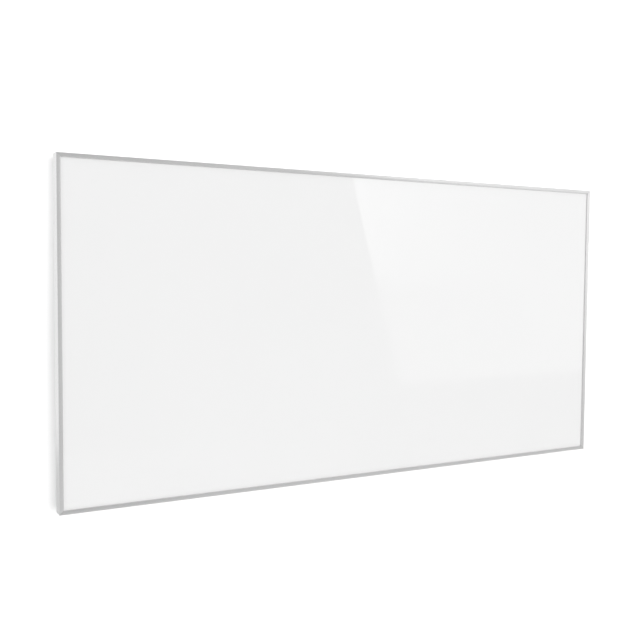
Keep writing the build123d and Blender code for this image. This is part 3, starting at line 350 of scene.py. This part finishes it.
# The end of a hexagon bar is a circle that lies this far within the flats
BAR_END_INSET = 0.3
# The barrel that turns the corners off clears them by this much between the ends
BARREL_CLEARANCE = 0.1

SCREW_HEAD_RADIUS, SCREW_HEAD_HEIGHT, SCREW_RADIUS = 2.9, 1.9, 1.5
LID_SCREW_HEAD_RADIUS, LID_SCREW_HEAD_HEIGHT, LID_SCREW_RADIUS = 2.4, 1.5, 1.25
THREAD_PITCH = 0.7
# Shares of a screw's radius, head height and head radius
THREAD_DEPTH_SHARE = 0.16
HEAD_SIDE_SHARE, RECESS_FLOOR_SHARE = 0.35, 0.35
RECESS_REACH_SHARE, RECESS_HALF_WIDTH_SHARE = 0.56, 0.11
HEAD_DOME_DEGREES = range(0, 80, 13)

RIVET_RADIUS, RIVET_HEAD_RADIUS, RIVET_TAIL_RADIUS = 1.95, 4.0, 2.9
RIVET_HEAD_HEIGHT, RIVET_TAIL_HEIGHT = 1.2, 3.0
RIVET_STEM_RADIUS = RIVET_RADIUS * 0.55
# The broken stem and the head round it, in shares of their own radius and of the head's height
RIVET_STEM_OUTLINE = ((0, 0.45), (0.9, 0.45), (1.0, 0.95), (1.25, 1.0))
RIVET_HEAD_OUTLINE = ((0.62, 0.86), (0.9, 0.42), (1.0, 0.12), (0.98, 0))
RIVET_BULB_DEGREES = range(60, 180, 20)

# Along a standoff, heights are distances from the wall
STANDOFF_ACROSS, STANDOFF_SHOULDER = 18.0, 11.7
STANDOFF_NECK_RADIUS, STANDOFF_NECK_END = 4.0, 13.8
STANDOFF_HEAD_RADIUS, STANDOFF_END = 6.5, 16.8
STANDOFF_BORE_RADIUS, STANDOFF_SINK_RADIUS = 2.6, 5.0
STANDOFF_INNER_CHAMFER, STANDOFF_OUTER_CHAMFER = 0.4, 0.5

# Along the cable gland, heights are distances below the junction box
GLAND_ACROSS, GLAND_HEXAGON_END = 15.0, 4.0
GLAND_THREAD_RADIUS, GLAND_THREAD_TOP = 6.0, -12.0
GLAND_COLLAR_RADIUS, GLAND_COLLAR_END = 6.4, 11.0
GLAND_BORE_RADIUS, GLAND_PITCH, GLAND_THREAD_DEPTH = 4.65, 1.5, 0.4
# Both threads start this far inside the hexagon
GLAND_THREAD_INSET = 0.5
DOME_START, DOME_SKIRT_END, DOME_END = 4.6, 11.1, 16.6
DOME_ROOT_RADIUS, DOME_TIP_RADIUS, DOME_MOUTH_RADIUS = 7.2, 4.9, 4.0
DOME_CLEARANCE, DOME_MOUTH_CHAMFER = 0.05, 0.4
DOME_DEGREES = range(0, 90, 10)

# Forms are made upright; these turn their top to the wall, to the room or downwards
TO_WALL = Matrix.Rotation(radians(-90), 4, "X")
TO_ROOM = Matrix.Rotation(radians(90), 4, "X")
DOWNWARDS = Matrix.Rotation(radians(180), 4, "X")


def form_object(mesh):
    """An object that holds a form while it is cut and joined."""
    data = bpy.data.meshes.new("form")
    bmesh.ops.recalc_face_normals(mesh, faces=mesh.faces)
    mesh.to_mesh(data)
    mesh.free()
    form = bpy.data.objects.new("form", data)
    bpy.context.scene.collection.objects.link(form)
    return form


def turned(outline):
    """A form turned about Z from an outline of (radius, height) that starts and ends on the axis."""
    mesh = bmesh.new()
    rings = []
    for radius, height in outline:
        angles = [2 * pi * i / TURNED_SIDES for i in range(TURNED_SIDES)] if radius else [0]
        rings.append(
            [mesh.verts.new(Vector((radius * cos(a), radius * sin(a), height)) * MM) for a in angles]
        )
    for lower, upper in zip(rings, rings[1:]):
        for i in range(TURNED_SIDES):
            j = (i + 1) % TURNED_SIDES
            corners = [lower[i % len(lower)], lower[j % len(lower)]]
            corners += [upper[j % len(upper)], upper[i % len(upper)]]
            mesh.faces.new(list(dict.fromkeys(corners)))
    return form_object(mesh)


def prism(corners, low, high):
    """An upright prism on a polygon, between two heights."""
    mesh = bmesh.new()
    ends = [[mesh.verts.new(Vector((x, y, z)) * MM) for x, y in corners] for z in (low, high)]
    for end in ends:
        mesh.faces.new(end)
    for i in range(len(corners)):
        j = (i + 1) % len(corners)
        mesh.faces.new([ends[0][i], ends[0][j], ends[1][j], ends[1][i]])
    return form_object(mesh)


def weld(data):
    """Join points that coincide, and drop the faces that are left without an area."""
    mesh = bmesh.new()
    mesh.from_mesh(data)
    bmesh.ops.remove_doubles(mesh, verts=mesh.verts, dist=WELD_DISTANCE)
    bmesh.ops.dissolve_degenerate(mesh, edges=mesh.edges, dist=WELD_DISTANCE)
    bmesh.ops.triangulate(mesh, faces=[face for face in mesh.faces if len(face.verts) > 4])
    bmesh.ops.dissolve_degenerate(mesh, edges=mesh.edges, dist=WELD_DISTANCE)
    mesh.to_mesh(data)
    mesh.free()


def combine(form, tool, how):
    """The form joined with, cut by or kept within a tool, which is used up."""
    change = form.modifiers.new("combine", "BOOLEAN")
    change.operation = how
    change.solver = "EXACT"
    change.object = tool
    depsgraph = bpy.context.evaluated_depsgraph_get()
    result = bpy.data.meshes.new_from_object(form.evaluated_get(depsgraph))
    form.modifiers.clear()
    weld(result)
    form.data = result
    bpy.data.objects.remove(tool)
    return form


def hexagon_bar(across, low, high):
    """A length of hexagon bar, with its corners turned off at 30 degrees at both ends."""
    corner = across / 2 / cos(pi / 6)
    end = across / 2 - BAR_END_INSET
    slope = (corner - end) * tan(pi / 6)
    corners = [(corner * cos(pi / 3 * i), corner * sin(pi / 3 * i)) for i in range(6)]
    barrel = [(0, low), (end, low), (corner + BARREL_CLEARANCE, low + slope)]
    barrel += [(radius, low + high - height) for radius, height in reversed(barrel)]
    return combine(prism(corners, low, high), turned(barrel), "INTERSECT")


def ridges(radius, depth, start, end, pitch):
    """The outline of a thread between two heights."""
    count = round((end - start) / pitch)
    step = (end - start) / count
    outline = []
    for i in range(count):
        outline += [(radius - depth, start + step * i), (radius, start + step * (i + 0.5))]
    return outline + [(radius - depth, end)]


def pan_head_screw(head_radius, head_height, radius, length):
    """A pan-head screw with a cross recess; the head stands on 0 and the shank hangs below."""
    side = head_height * HEAD_SIDE_SHARE
    dome = [
        (head_radius * cos(turn), side + (head_height - side) * sin(turn))
        for turn in map(radians, HEAD_DOME_DEGREES)
    ]
    thread_depth = radius * THREAD_DEPTH_SHARE
    thread = ridges(radius, thread_depth, radius - length, -THREAD_PITCH / 2, THREAD_PITCH)
    form = turned([(0, -length), *thread, (radius, 0), (head_radius, 0), *dome, (0, head_height)])
    reach, half = head_radius * RECESS_REACH_SHARE, head_radius * RECESS_HALF_WIDTH_SHARE
    slot = [(-reach, -half), (reach, -half), (reach, half), (-reach, half)]
    floor = head_height * RECESS_FLOOR_SHARE
    for corners in (slot, [(-y, x) for x, y in slot]):
        form = combine(form, prism(corners, floor, head_height + OVERSHOOT), "DIFFERENCE")
    return form


def blind_rivet(grip):
    """A set blind rivet; its low head, with the broken stem, stands on 0 and its bulb is below."""
    outline = [
        (radius * across, RIVET_HEAD_HEIGHT * up)
        for radius, shares in (
            (RIVET_STEM_RADIUS, RIVET_STEM_OUTLINE),
            (RIVET_HEAD_RADIUS, RIVET_HEAD_OUTLINE),
        )
        for across, up in shares
    ]
    outline += [(RIVET_RADIUS, 0), (RIVET_RADIUS, -grip)]
    outline += [
        (RIVET_TAIL_RADIUS * sin(turn), -grip - RIVET_TAIL_HEIGHT / 2 * (1 - cos(turn)))
        for turn in map(radians, RIVET_BULB_DEGREES)
    ]
    return turned(outline + [(0, -grip - RIVET_TAIL_HEIGHT)])


def standoff():
    """A standoff of hexagon bar, with a turned neck and a head countersunk for the wall screw."""
    head = turned(
        [
            (0, STANDOFF_SHOULDER - OVERSHOOT),
            (STANDOFF_NECK_RADIUS, STANDOFF_SHOULDER - OVERSHOOT),
            (STANDOFF_NECK_RADIUS, STANDOFF_NECK_END),
            (STANDOFF_HEAD_RADIUS - STANDOFF_INNER_CHAMFER, STANDOFF_NECK_END),
            (STANDOFF_HEAD_RADIUS, STANDOFF_NECK_END + STANDOFF_INNER_CHAMFER),
            (STANDOFF_HEAD_RADIUS, STANDOFF_END - STANDOFF_OUTER_CHAMFER),
            (STANDOFF_HEAD_RADIUS - STANDOFF_OUTER_CHAMFER, STANDOFF_END),
            (0, STANDOFF_END),
        ]
    )
    sink_depth = STANDOFF_SINK_RADIUS - STANDOFF_BORE_RADIUS
    bore = turned(
        [
            (0, -OVERSHOOT),
            (STANDOFF_BORE_RADIUS, -OVERSHOOT),
            (STANDOFF_BORE_RADIUS, STANDOFF_END - sink_depth),
            (STANDOFF_SINK_RADIUS, STANDOFF_END),
            (STANDOFF_SINK_RADIUS, STANDOFF_END + OVERSHOOT),
            (0, STANDOFF_END + OVERSHOOT),
        ]
    )
    body = hexagon_bar(STANDOFF_ACROSS, 0, STANDOFF_SHOULDER)
    return combine(combine(body, head, "UNION"), bore, "DIFFERENCE")


def gland_body():
    """The gland's hexagon, with its thread into the box above and its threaded collar below."""
    thread = ridges(
        GLAND_THREAD_RADIUS, GLAND_THREAD_DEPTH, GLAND_THREAD_TOP, GLAND_THREAD_INSET, GLAND_PITCH
    )
    collar_start = GLAND_HEXAGON_END - GLAND_THREAD_INSET
    collar = ridges(
        GLAND_COLLAR_RADIUS, GLAND_THREAD_DEPTH, collar_start, GLAND_COLLAR_END, GLAND_PITCH
    )
    stem = turned([(0, GLAND_THREAD_TOP), *thread, *collar, (0, GLAND_COLLAR_END)])
    bore = turned(
        [
            (0, GLAND_THREAD_TOP - OVERSHOOT),
            (GLAND_BORE_RADIUS, GLAND_THREAD_TOP - OVERSHOOT),
            (GLAND_BORE_RADIUS, GLAND_COLLAR_END + OVERSHOOT),
            (0, GLAND_COLLAR_END + OVERSHOOT),
        ]
    )
    body = hexagon_bar(GLAND_ACROSS, 0, GLAND_HEXAGON_END)
    return combine(combine(body, stem, "UNION"), bore, "DIFFERENCE")


def gland_dome_nut():
    """The gland's nut: a hexagon skirt and a dome that narrows to the cord's mouth."""
    curve = [
        (
            DOME_TIP_RADIUS + (DOME_ROOT_RADIUS - DOME_TIP_RADIUS) * cos(turn),
            DOME_SKIRT_END + (DOME_END - DOME_SKIRT_END) * sin(turn),
        )
        for turn in map(radians, DOME_DEGREES)
    ]
    start = DOME_SKIRT_END - OVERSHOOT
    dome = turned([(0, start), (DOME_ROOT_RADIUS, start), *curve, (0, DOME_END)])
    inside = GLAND_COLLAR_RADIUS + DOME_CLEARANCE
    mouth_edge = DOME_MOUTH_RADIUS + DOME_MOUTH_CHAMFER
    bore = turned(
        [
            (0, DOME_START - OVERSHOOT),
            (inside, DOME_START - OVERSHOOT),
            (inside, GLAND_COLLAR_END),
            (DOME_MOUTH_RADIUS, GLAND_COLLAR_END),
            (DOME_MOUTH_RADIUS, DOME_END - DOME_MOUTH_CHAMFER),
            (mouth_edge, DOME_END),
            (mouth_edge, DOME_END + OVERSHOOT),
            (0, DOME_END + OVERSHOOT),
        ]
    )
    skirt = hexagon_bar(GLAND_ACROSS, DOME_START, DOME_SKIRT_END)
    return combine(combine(skirt, dome, "UNION"), bore, "DIFFERENCE")


def solid_boxes(node):
    """The low and high corners of each separate solid of a node, in a fixed order."""
    mesh = bmesh.new()
    mesh.from_mesh(frame["nodes"][node].data)
    bmesh.ops.remove_doubles(mesh, verts=mesh.verts, dist=WELD_DISTANCE)
    unseen = set(mesh.verts)
    boxes = []
    while unseen:
        queue = [unseen.pop()]
        points = []
        while queue:
            vertex = queue.pop()
            points.append(vertex.co.copy())
            for edge in vertex.link_edges:
                other = edge.other_vert(vertex)
                if other in unseen:
                    unseen.remove(other)
                    queue.append(other)
        low = Vector([min(point[axis] for point in points) for axis in range(3)])
        high = Vector([max(point[axis] for point in points) for axis in range(3)])
        boxes.append((low, high))
    mesh.free()
    return sorted(
        boxes, key=lambda box: (round(box[0].z, SORTED_DIGITS), round(box[0].x, SORTED_DIGITS))
    )


def lay_out(node, form, places, direction, body, slot):
    """One piece with a copy of the form at each place, which is shown instead of a node."""
    whole = bmesh.new()
    for place in places:
        first = len(whole.verts)
        whole.from_mesh(form.data)
        whole.verts.ensure_lookup_table()
        move = Matrix.Translation(place) @ direction
        bmesh.ops.transform(whole, matrix=move, verts=whole.verts[first:])
    data = bpy.data.meshes.new(f"{node}_detail")
    whole.to_mesh(data)
    whole.free()
    bpy.data.objects.remove(form)
    data.polygons.foreach_set("use_smooth", [True] * len(data.polygons))
    data.set_sharp_from_angle(angle=SHARP_ANGLE)
    data.materials.clear()
    data.materials.append(materials[slot])
    piece = bpy.data.objects.new(f"{node}_detail", data)
    bpy.context.scene.collection.objects.link(piece)
    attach(piece, body)
    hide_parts(node)


def fasteners(node, head_height):
    """The depth of a node's screws or rivets and the seats of their heads, which face the wall."""
    boxes = solid_boxes(node)
    low, high = boxes[0]
    seats = [
        Vector(((low.x + high.x) / 2, high.y - head_height * MM, (low.z + high.z) / 2))
        for low, high in boxes
    ]
    return (high.y - low.y) / MM, seats


for node in ("back_plate_screws", "corner_key_screws"):
    depth, seats = fasteners(node, SCREW_HEAD_HEIGHT)
    length = depth - SCREW_HEAD_HEIGHT
    form = pan_head_screw(SCREW_HEAD_RADIUS, SCREW_HEAD_HEIGHT, SCREW_RADIUS, length)
    lay_out(node, form, seats, TO_WALL, "panel", "zinc_screw")

depth, seats = fasteners("junction_box_lid_screws", LID_SCREW_HEAD_HEIGHT)
length = depth - LID_SCREW_HEAD_HEIGHT
form = pan_head_screw(LID_SCREW_HEAD_RADIUS, LID_SCREW_HEAD_HEIGHT, LID_SCREW_RADIUS, length)
lay_out("junction_box_lid_screws", form, seats, TO_WALL, "panel", "zinc_screw")

for node in ("hanger_rivets", "junction_box_rivets"):
    depth, seats = fasteners(node, RIVET_HEAD_HEIGHT)
    form = blind_rivet(depth - RIVET_HEAD_HEIGHT - RIVET_TAIL_HEIGHT)
    lay_out(node, form, seats, TO_WALL, "panel", "rivet_aluminium")

for corner in ("top_left", "top_right", "bottom_left", "bottom_right"):
    node = f"wall_standoff_{corner}"
    low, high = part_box(node)
    foot = Vector(((low.x + high.x) / 2, high.y, (low.z + high.z) / 2))
    lay_out(node, standoff(), [foot], TO_ROOM, "wall_standoffs", "standoff_steel")

low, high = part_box("cable_gland_dome_nut")
entry = Vector(((low.x + high.x) / 2, (low.y + high.y) / 2, high.z + DOME_START * MM))
lay_out("cable_gland_body", gland_body(), [entry], DOWNWARDS, "panel", "gland_plastic")
lay_out("cable_gland_dome_nut", gland_dome_nut(), [entry], DOWNWARDS, "panel", "gland_plastic")


# ---------------------------------------------------------------------------
# Stage: floor, wall, world and lights
# ---------------------------------------------------------------------------

FLOOR_LEVEL = -1.9
FLOOR_SIZE = 16.0
WALL_WIDTH = 9.0
WALL_HEIGHT = 4.6
# The wall's glow up to one height and from another height on; the glow that rises with height is painted
# light, which lightens the panel's shadow on the wall towards the top
WALL_GLOW = ((0.0, 0.10), (0.30, 0.19))
WALL_TONE = 0.95


def make_plane(name, centre, x_edge, y_edge, material):
    """A rectangle of the stage, which faces along x_edge cross y_edge."""
    corners = [
        centre + (x_edge * i + y_edge * j) / 2 for i, j in ((-1, -1), (1, -1), (1, 1), (-1, 1))
    ]
    mesh = bpy.data.meshes.new(name)
    mesh.from_pydata(corners, [], [(0, 1, 2, 3)])
    mesh.materials.append(material)
    plane = bpy.data.objects.new(name, mesh)
    bpy.context.scene.collection.objects.link(plane)
    return plane


def floor_material():
    """A matt grey floor."""
    material, tree, shader = start_material("floor")
    noise = stretched_noise(tree, scale=2.0)
    tone = two_tones(tree, noise, dark=grey(0.757), light=grey(0.763))
    tree.links.new(tone, shader.inputs["Base Color"])
    shader.inputs["Roughness"].default_value = 0.9
    return material


def wall_material():
    """A white wall that takes the panel's shadow and can't be seen from behind."""
    material = bpy.data.materials.new("wall")
    material.use_nodes = True
    tree = material.node_tree
    tree.nodes.clear()
    diffuse = tree.nodes.new("ShaderNodeBsdfDiffuse")
    diffuse.inputs["Color"].default_value = (*grey(WALL_TONE), 1)
    place = tree.nodes.new("ShaderNodeTexCoord")
    axes = tree.nodes.new("ShaderNodeSeparateXYZ")
    glow_by_height = tree.nodes.new("ShaderNodeMapRange")
    (low, low_glow), (high, high_glow) = WALL_GLOW
    glow_by_height.inputs["From Min"].default_value = low
    glow_by_height.inputs["From Max"].default_value = high
    glow_by_height.inputs["To Min"].default_value = low_glow
    glow_by_height.inputs["To Max"].default_value = high_glow
    # Painted light: the wall glows more towards the top, which lightens the panel's shadow there
    glow = tree.nodes.new("ShaderNodeEmission")
    clear = tree.nodes.new("ShaderNodeBsdfTransparent")
    lit = tree.nodes.new("ShaderNodeAddShader")
    one_sided = tree.nodes.new("ShaderNodeMixShader")
    side = tree.nodes.new("ShaderNodeNewGeometry")
    output = tree.nodes.new("ShaderNodeOutputMaterial")
    tree.links.new(place.outputs["Object"], axes.inputs["Vector"])
    tree.links.new(axes.outputs["Z"], glow_by_height.inputs["Value"])
    tree.links.new(glow_by_height.outputs["Result"], glow.inputs["Strength"])
    tree.links.new(diffuse.outputs[0], lit.inputs[0])
    tree.links.new(glow.outputs[0], lit.inputs[1])
    tree.links.new(side.outputs["Backfacing"], one_sided.inputs["Fac"])
    tree.links.new(lit.outputs[0], one_sided.inputs[1])
    tree.links.new(clear.outputs[0], one_sided.inputs[2])
    tree.links.new(one_sided.outputs[0], output.inputs["Surface"])
    return material


# The studio's brightness by how far a direction points right, from -1 to 1, and behind the wall
STUDIO_BY_RIGHT = ((-1.0, 0.95), (-0.6, 0.80), (0.1, 0.50), (0.2, 0.56), (0.35, 0.66), (1.0, 0.67))
STUDIO_BEHIND = 0.97
# A direction that points this far to the back sees only the brightness behind the wall
BEHIND_REACHED = 0.5

# The colour sockets of a Mix node
MIX_FACTOR, MIX_FIRST, MIX_SECOND = 0, 6, 7
MIX_RESULT = 2


def set_stops(ramp, stops):
    """Greys at places along a colour ramp."""
    while len(ramp.elements) < len(stops):
        ramp.elements.new(1.0)
    for element, (position, level) in zip(ramp.elements, stops):
        element.position = position
        element.color = (*grey(level), 1)


def make_world():
    """White to the camera; to the object, a soft studio that is dimmest straight ahead of it."""
    world = bpy.data.worlds.new("studio")
    bpy.context.scene.world = world
    world.use_nodes = True
    tree = world.node_tree
    tree.nodes.clear()
    place = tree.nodes.new("ShaderNodeTexCoord")
    axes = tree.nodes.new("ShaderNodeSeparateXYZ")
    rightness = tree.nodes.new("ShaderNodeMapRange")
    rightness.inputs["From Min"].default_value = -1.0
    ramp_node = tree.nodes.new("ShaderNodeValToRGB")
    set_stops(ramp_node.color_ramp, [((right + 1) / 2, level) for right, level in STUDIO_BY_RIGHT])
    behind = tree.nodes.new("ShaderNodeMapRange")
    behind.inputs["From Max"].default_value = BEHIND_REACHED
    blend = tree.nodes.new("ShaderNodeMix")
    blend.data_type = "RGBA"
    blend.inputs[MIX_SECOND].default_value = (*grey(STUDIO_BEHIND), 1)
    studio = tree.nodes.new("ShaderNodeBackground")
    backdrop = tree.nodes.new("ShaderNodeBackground")
    backdrop.inputs["Color"].default_value = (1, 1, 1, 1)
    rays = tree.nodes.new("ShaderNodeLightPath")
    choice = tree.nodes.new("ShaderNodeMixShader")
    output = tree.nodes.new("ShaderNodeOutputWorld")
    tree.links.new(place.outputs["Generated"], axes.inputs["Vector"])
    tree.links.new(axes.outputs["X"], rightness.inputs["Value"])
    tree.links.new(axes.outputs["Y"], behind.inputs["Value"])
    tree.links.new(rightness.outputs["Result"], ramp_node.inputs["Fac"])
    tree.links.new(behind.outputs["Result"], blend.inputs[MIX_FACTOR])
    tree.links.new(ramp_node.outputs["Color"], blend.inputs[MIX_FIRST])
    tree.links.new(blend.outputs[MIX_RESULT], studio.inputs["Color"])
    tree.links.new(rays.outputs["Is Camera Ray"], choice.inputs["Fac"])
    tree.links.new(studio.outputs[0], choice.inputs[1])
    tree.links.new(backdrop.outputs[0], choice.inputs[2])
    tree.links.new(choice.outputs[0], output.inputs["Surface"])


FRONT_LIGHT_FROM, REAR_LIGHT_FROM = (0.10, -1.0, 0.06), (-0.5, 1.0, 0.6)
FRONT_LIGHT_SOFTNESS, REAR_LIGHT_SOFTNESS = radians(28), radians(40)
FRONT_LIGHT_STRENGTH, REAR_LIGHT_STRENGTH = 1.34, 0.6


def sun_light(name, source, softness, strength):
    """An even light from far away, in the direction of its source, that no gloss mirrors."""
    data = bpy.data.lights.new(name, "SUN")
    data.angle = softness
    data.energy = strength
    light = bpy.data.objects.new(name, data)
    light.rotation_euler = (-Vector(source)).to_track_quat("-Z", "Y").to_euler()
    light.visible_glossy = False
    bpy.context.scene.collection.objects.link(light)


make_plane(
    "floor",
    Vector((0, 0, FLOOR_LEVEL)),
    Vector((FLOOR_SIZE, 0, 0)),
    Vector((0, FLOOR_SIZE, 0)),
    floor_material(),
)
wall = make_plane(
    "wall",
    Vector((0, 0, FLOOR_LEVEL + WALL_HEIGHT / 2)),
    Vector((WALL_WIDTH, 0, 0)),
    Vector((0, 0, WALL_HEIGHT)),
    wall_material(),
)
wall.visible_diffuse = False
wall.visible_glossy = False
wall.visible_transmission = False
wall.visible_shadow = False
make_world()
sun_light("front_light", FRONT_LIGHT_FROM, FRONT_LIGHT_SOFTNESS, FRONT_LIGHT_STRENGTH)
sun_light("rear_light", REAR_LIGHT_FROM, REAR_LIGHT_SOFTNESS, REAR_LIGHT_STRENGTH)


# ---------------------------------------------------------------------------
# Reflector card: what the gloss of the glass mirrors, seen by reflected rays only
# ---------------------------------------------------------------------------

GLASS_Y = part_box("front_glass")[0].y
CARD_Y = -3.0
# Two points of the slanted edge in the photograph, of which the second is its lower end
REFLECTION_EDGE_TOP_PX = (353.0, 180.0)
REFLECTION_EDGE_END_PX = (400.5, 389.0)
CARD_WIDTH = 4.2
# The edge goes on upwards by this share of its length between the two points
CARD_RISE = 0.4
# The lower lip doesn't show the card's glow in the photograph
UNLIT_BY_CARD = "frame_bottom"
# Glow by height, and the further glow by height and by distance from the slanted edge
CARD_GLOW = ((0.0086, 0.0), (0.030, 0.30))
CARD_UPPER_GLOW = ((0.332, 0.0), (0.407, 0.6), (0.643, 1.0))
CARD_EDGE_GLOW = ((0.0, 0.50), (0.06, 0.32), (0.12, 0.23), (0.20, 0.13), (0.37, 0.0))


def mirrored_on_card(pixel):
    """The point of the card's plane that the glass mirrors at a pixel."""
    seen = on_plane_y(pixel, GLASS_Y)
    mirrored_camera = Vector((CAMERA_PLACE.x, 2 * GLASS_Y - CAMERA_PLACE.y, CAMERA_PLACE.z))
    ray = seen - mirrored_camera
    return mirrored_camera + ray * ((CARD_Y - mirrored_camera.y) / ray.y)


def grey_ramp(tree, factor, stops):
    """Greys at places along a factor."""
    ramp = tree.nodes.new("ShaderNodeValToRGB")
    set_stops(ramp.color_ramp, stops)
    tree.links.new(factor, ramp.inputs["Fac"])
    return ramp.outputs["Color"]


def mixed(tree, how, first, second):
    """Two colours, mixed in full."""
    mix = tree.nodes.new("ShaderNodeMix")
    mix.data_type = "RGBA"
    mix.blend_type = how
    mix.inputs[MIX_FACTOR].default_value = 1.0
    tree.links.new(first, mix.inputs[MIX_FIRST])
    tree.links.new(second, mix.inputs[MIX_SECOND])
    return mix.outputs[MIX_RESULT]


def card_material():
    """An even glow, with more in the upper part, which is strongest at the slanted edge."""
    material = bpy.data.materials.new("reflector_card")
    material.use_nodes = True
    tree = material.node_tree
    tree.nodes.clear()
    place = tree.nodes.new("ShaderNodeUVMap")
    axes = tree.nodes.new("ShaderNodeSeparateXYZ")
    tree.links.new(place.outputs["UV"], axes.inputs["Vector"])
    across, up = axes.outputs["X"], axes.outputs["Y"]
    by_height = grey_ramp(tree, up, CARD_UPPER_GLOW)
    by_distance = grey_ramp(tree, across, CARD_EDGE_GLOW)
    upper = mixed(tree, "MULTIPLY", by_height, by_distance)
    glow = tree.nodes.new("ShaderNodeEmission")
    clear = tree.nodes.new("ShaderNodeBsdfTransparent")
    total = tree.nodes.new("ShaderNodeAddShader")
    output = tree.nodes.new("ShaderNodeOutputMaterial")
    whole = mixed(tree, "ADD", grey_ramp(tree, up, CARD_GLOW), upper)
    tree.links.new(whole, glow.inputs["Color"])
    tree.links.new(glow.outputs[0], total.inputs[0])
    tree.links.new(clear.outputs[0], total.inputs[1])
    tree.links.new(total.outputs[0], output.inputs["Surface"])
    return material


def make_card():
    """The card, a slanted quadrilateral that only reflected rays see and that doesn't light one node."""
    top = mirrored_on_card(REFLECTION_EDGE_TOP_PX)
    end = mirrored_on_card(REFLECTION_EDGE_END_PX)
    slope = top - end
    top = top + slope * CARD_RISE
    width = Vector((CARD_WIDTH, 0, 0))
    mesh = bpy.data.meshes.new("reflector_card")
    mesh.from_pydata([end, end + width, top + width, top], [], [(0, 1, 2, 3)])
    layer = mesh.uv_layers.new(name="UVMap")
    for loop, uv in zip(layer.data, ((0, 0), (1, 0), (1, 1), (0, 1))):
        loop.uv = uv
    mesh.materials.append(card_material())
    card = bpy.data.objects.new("reflector_card", mesh)
    bpy.context.scene.collection.objects.link(card)
    card.visible_camera = False
    card.visible_diffuse = False
    card.visible_shadow = False
    card.visible_transmission = False
    unlit = bpy.data.collections.new("unlit_by_card")
    unlit.objects.link(frame["nodes"][UNLIT_BY_CARD])
    unlit.collection_objects[0].light_linking.link_state = "EXCLUDE"
    card.light_linking.receiver_collection = unlit


make_card()
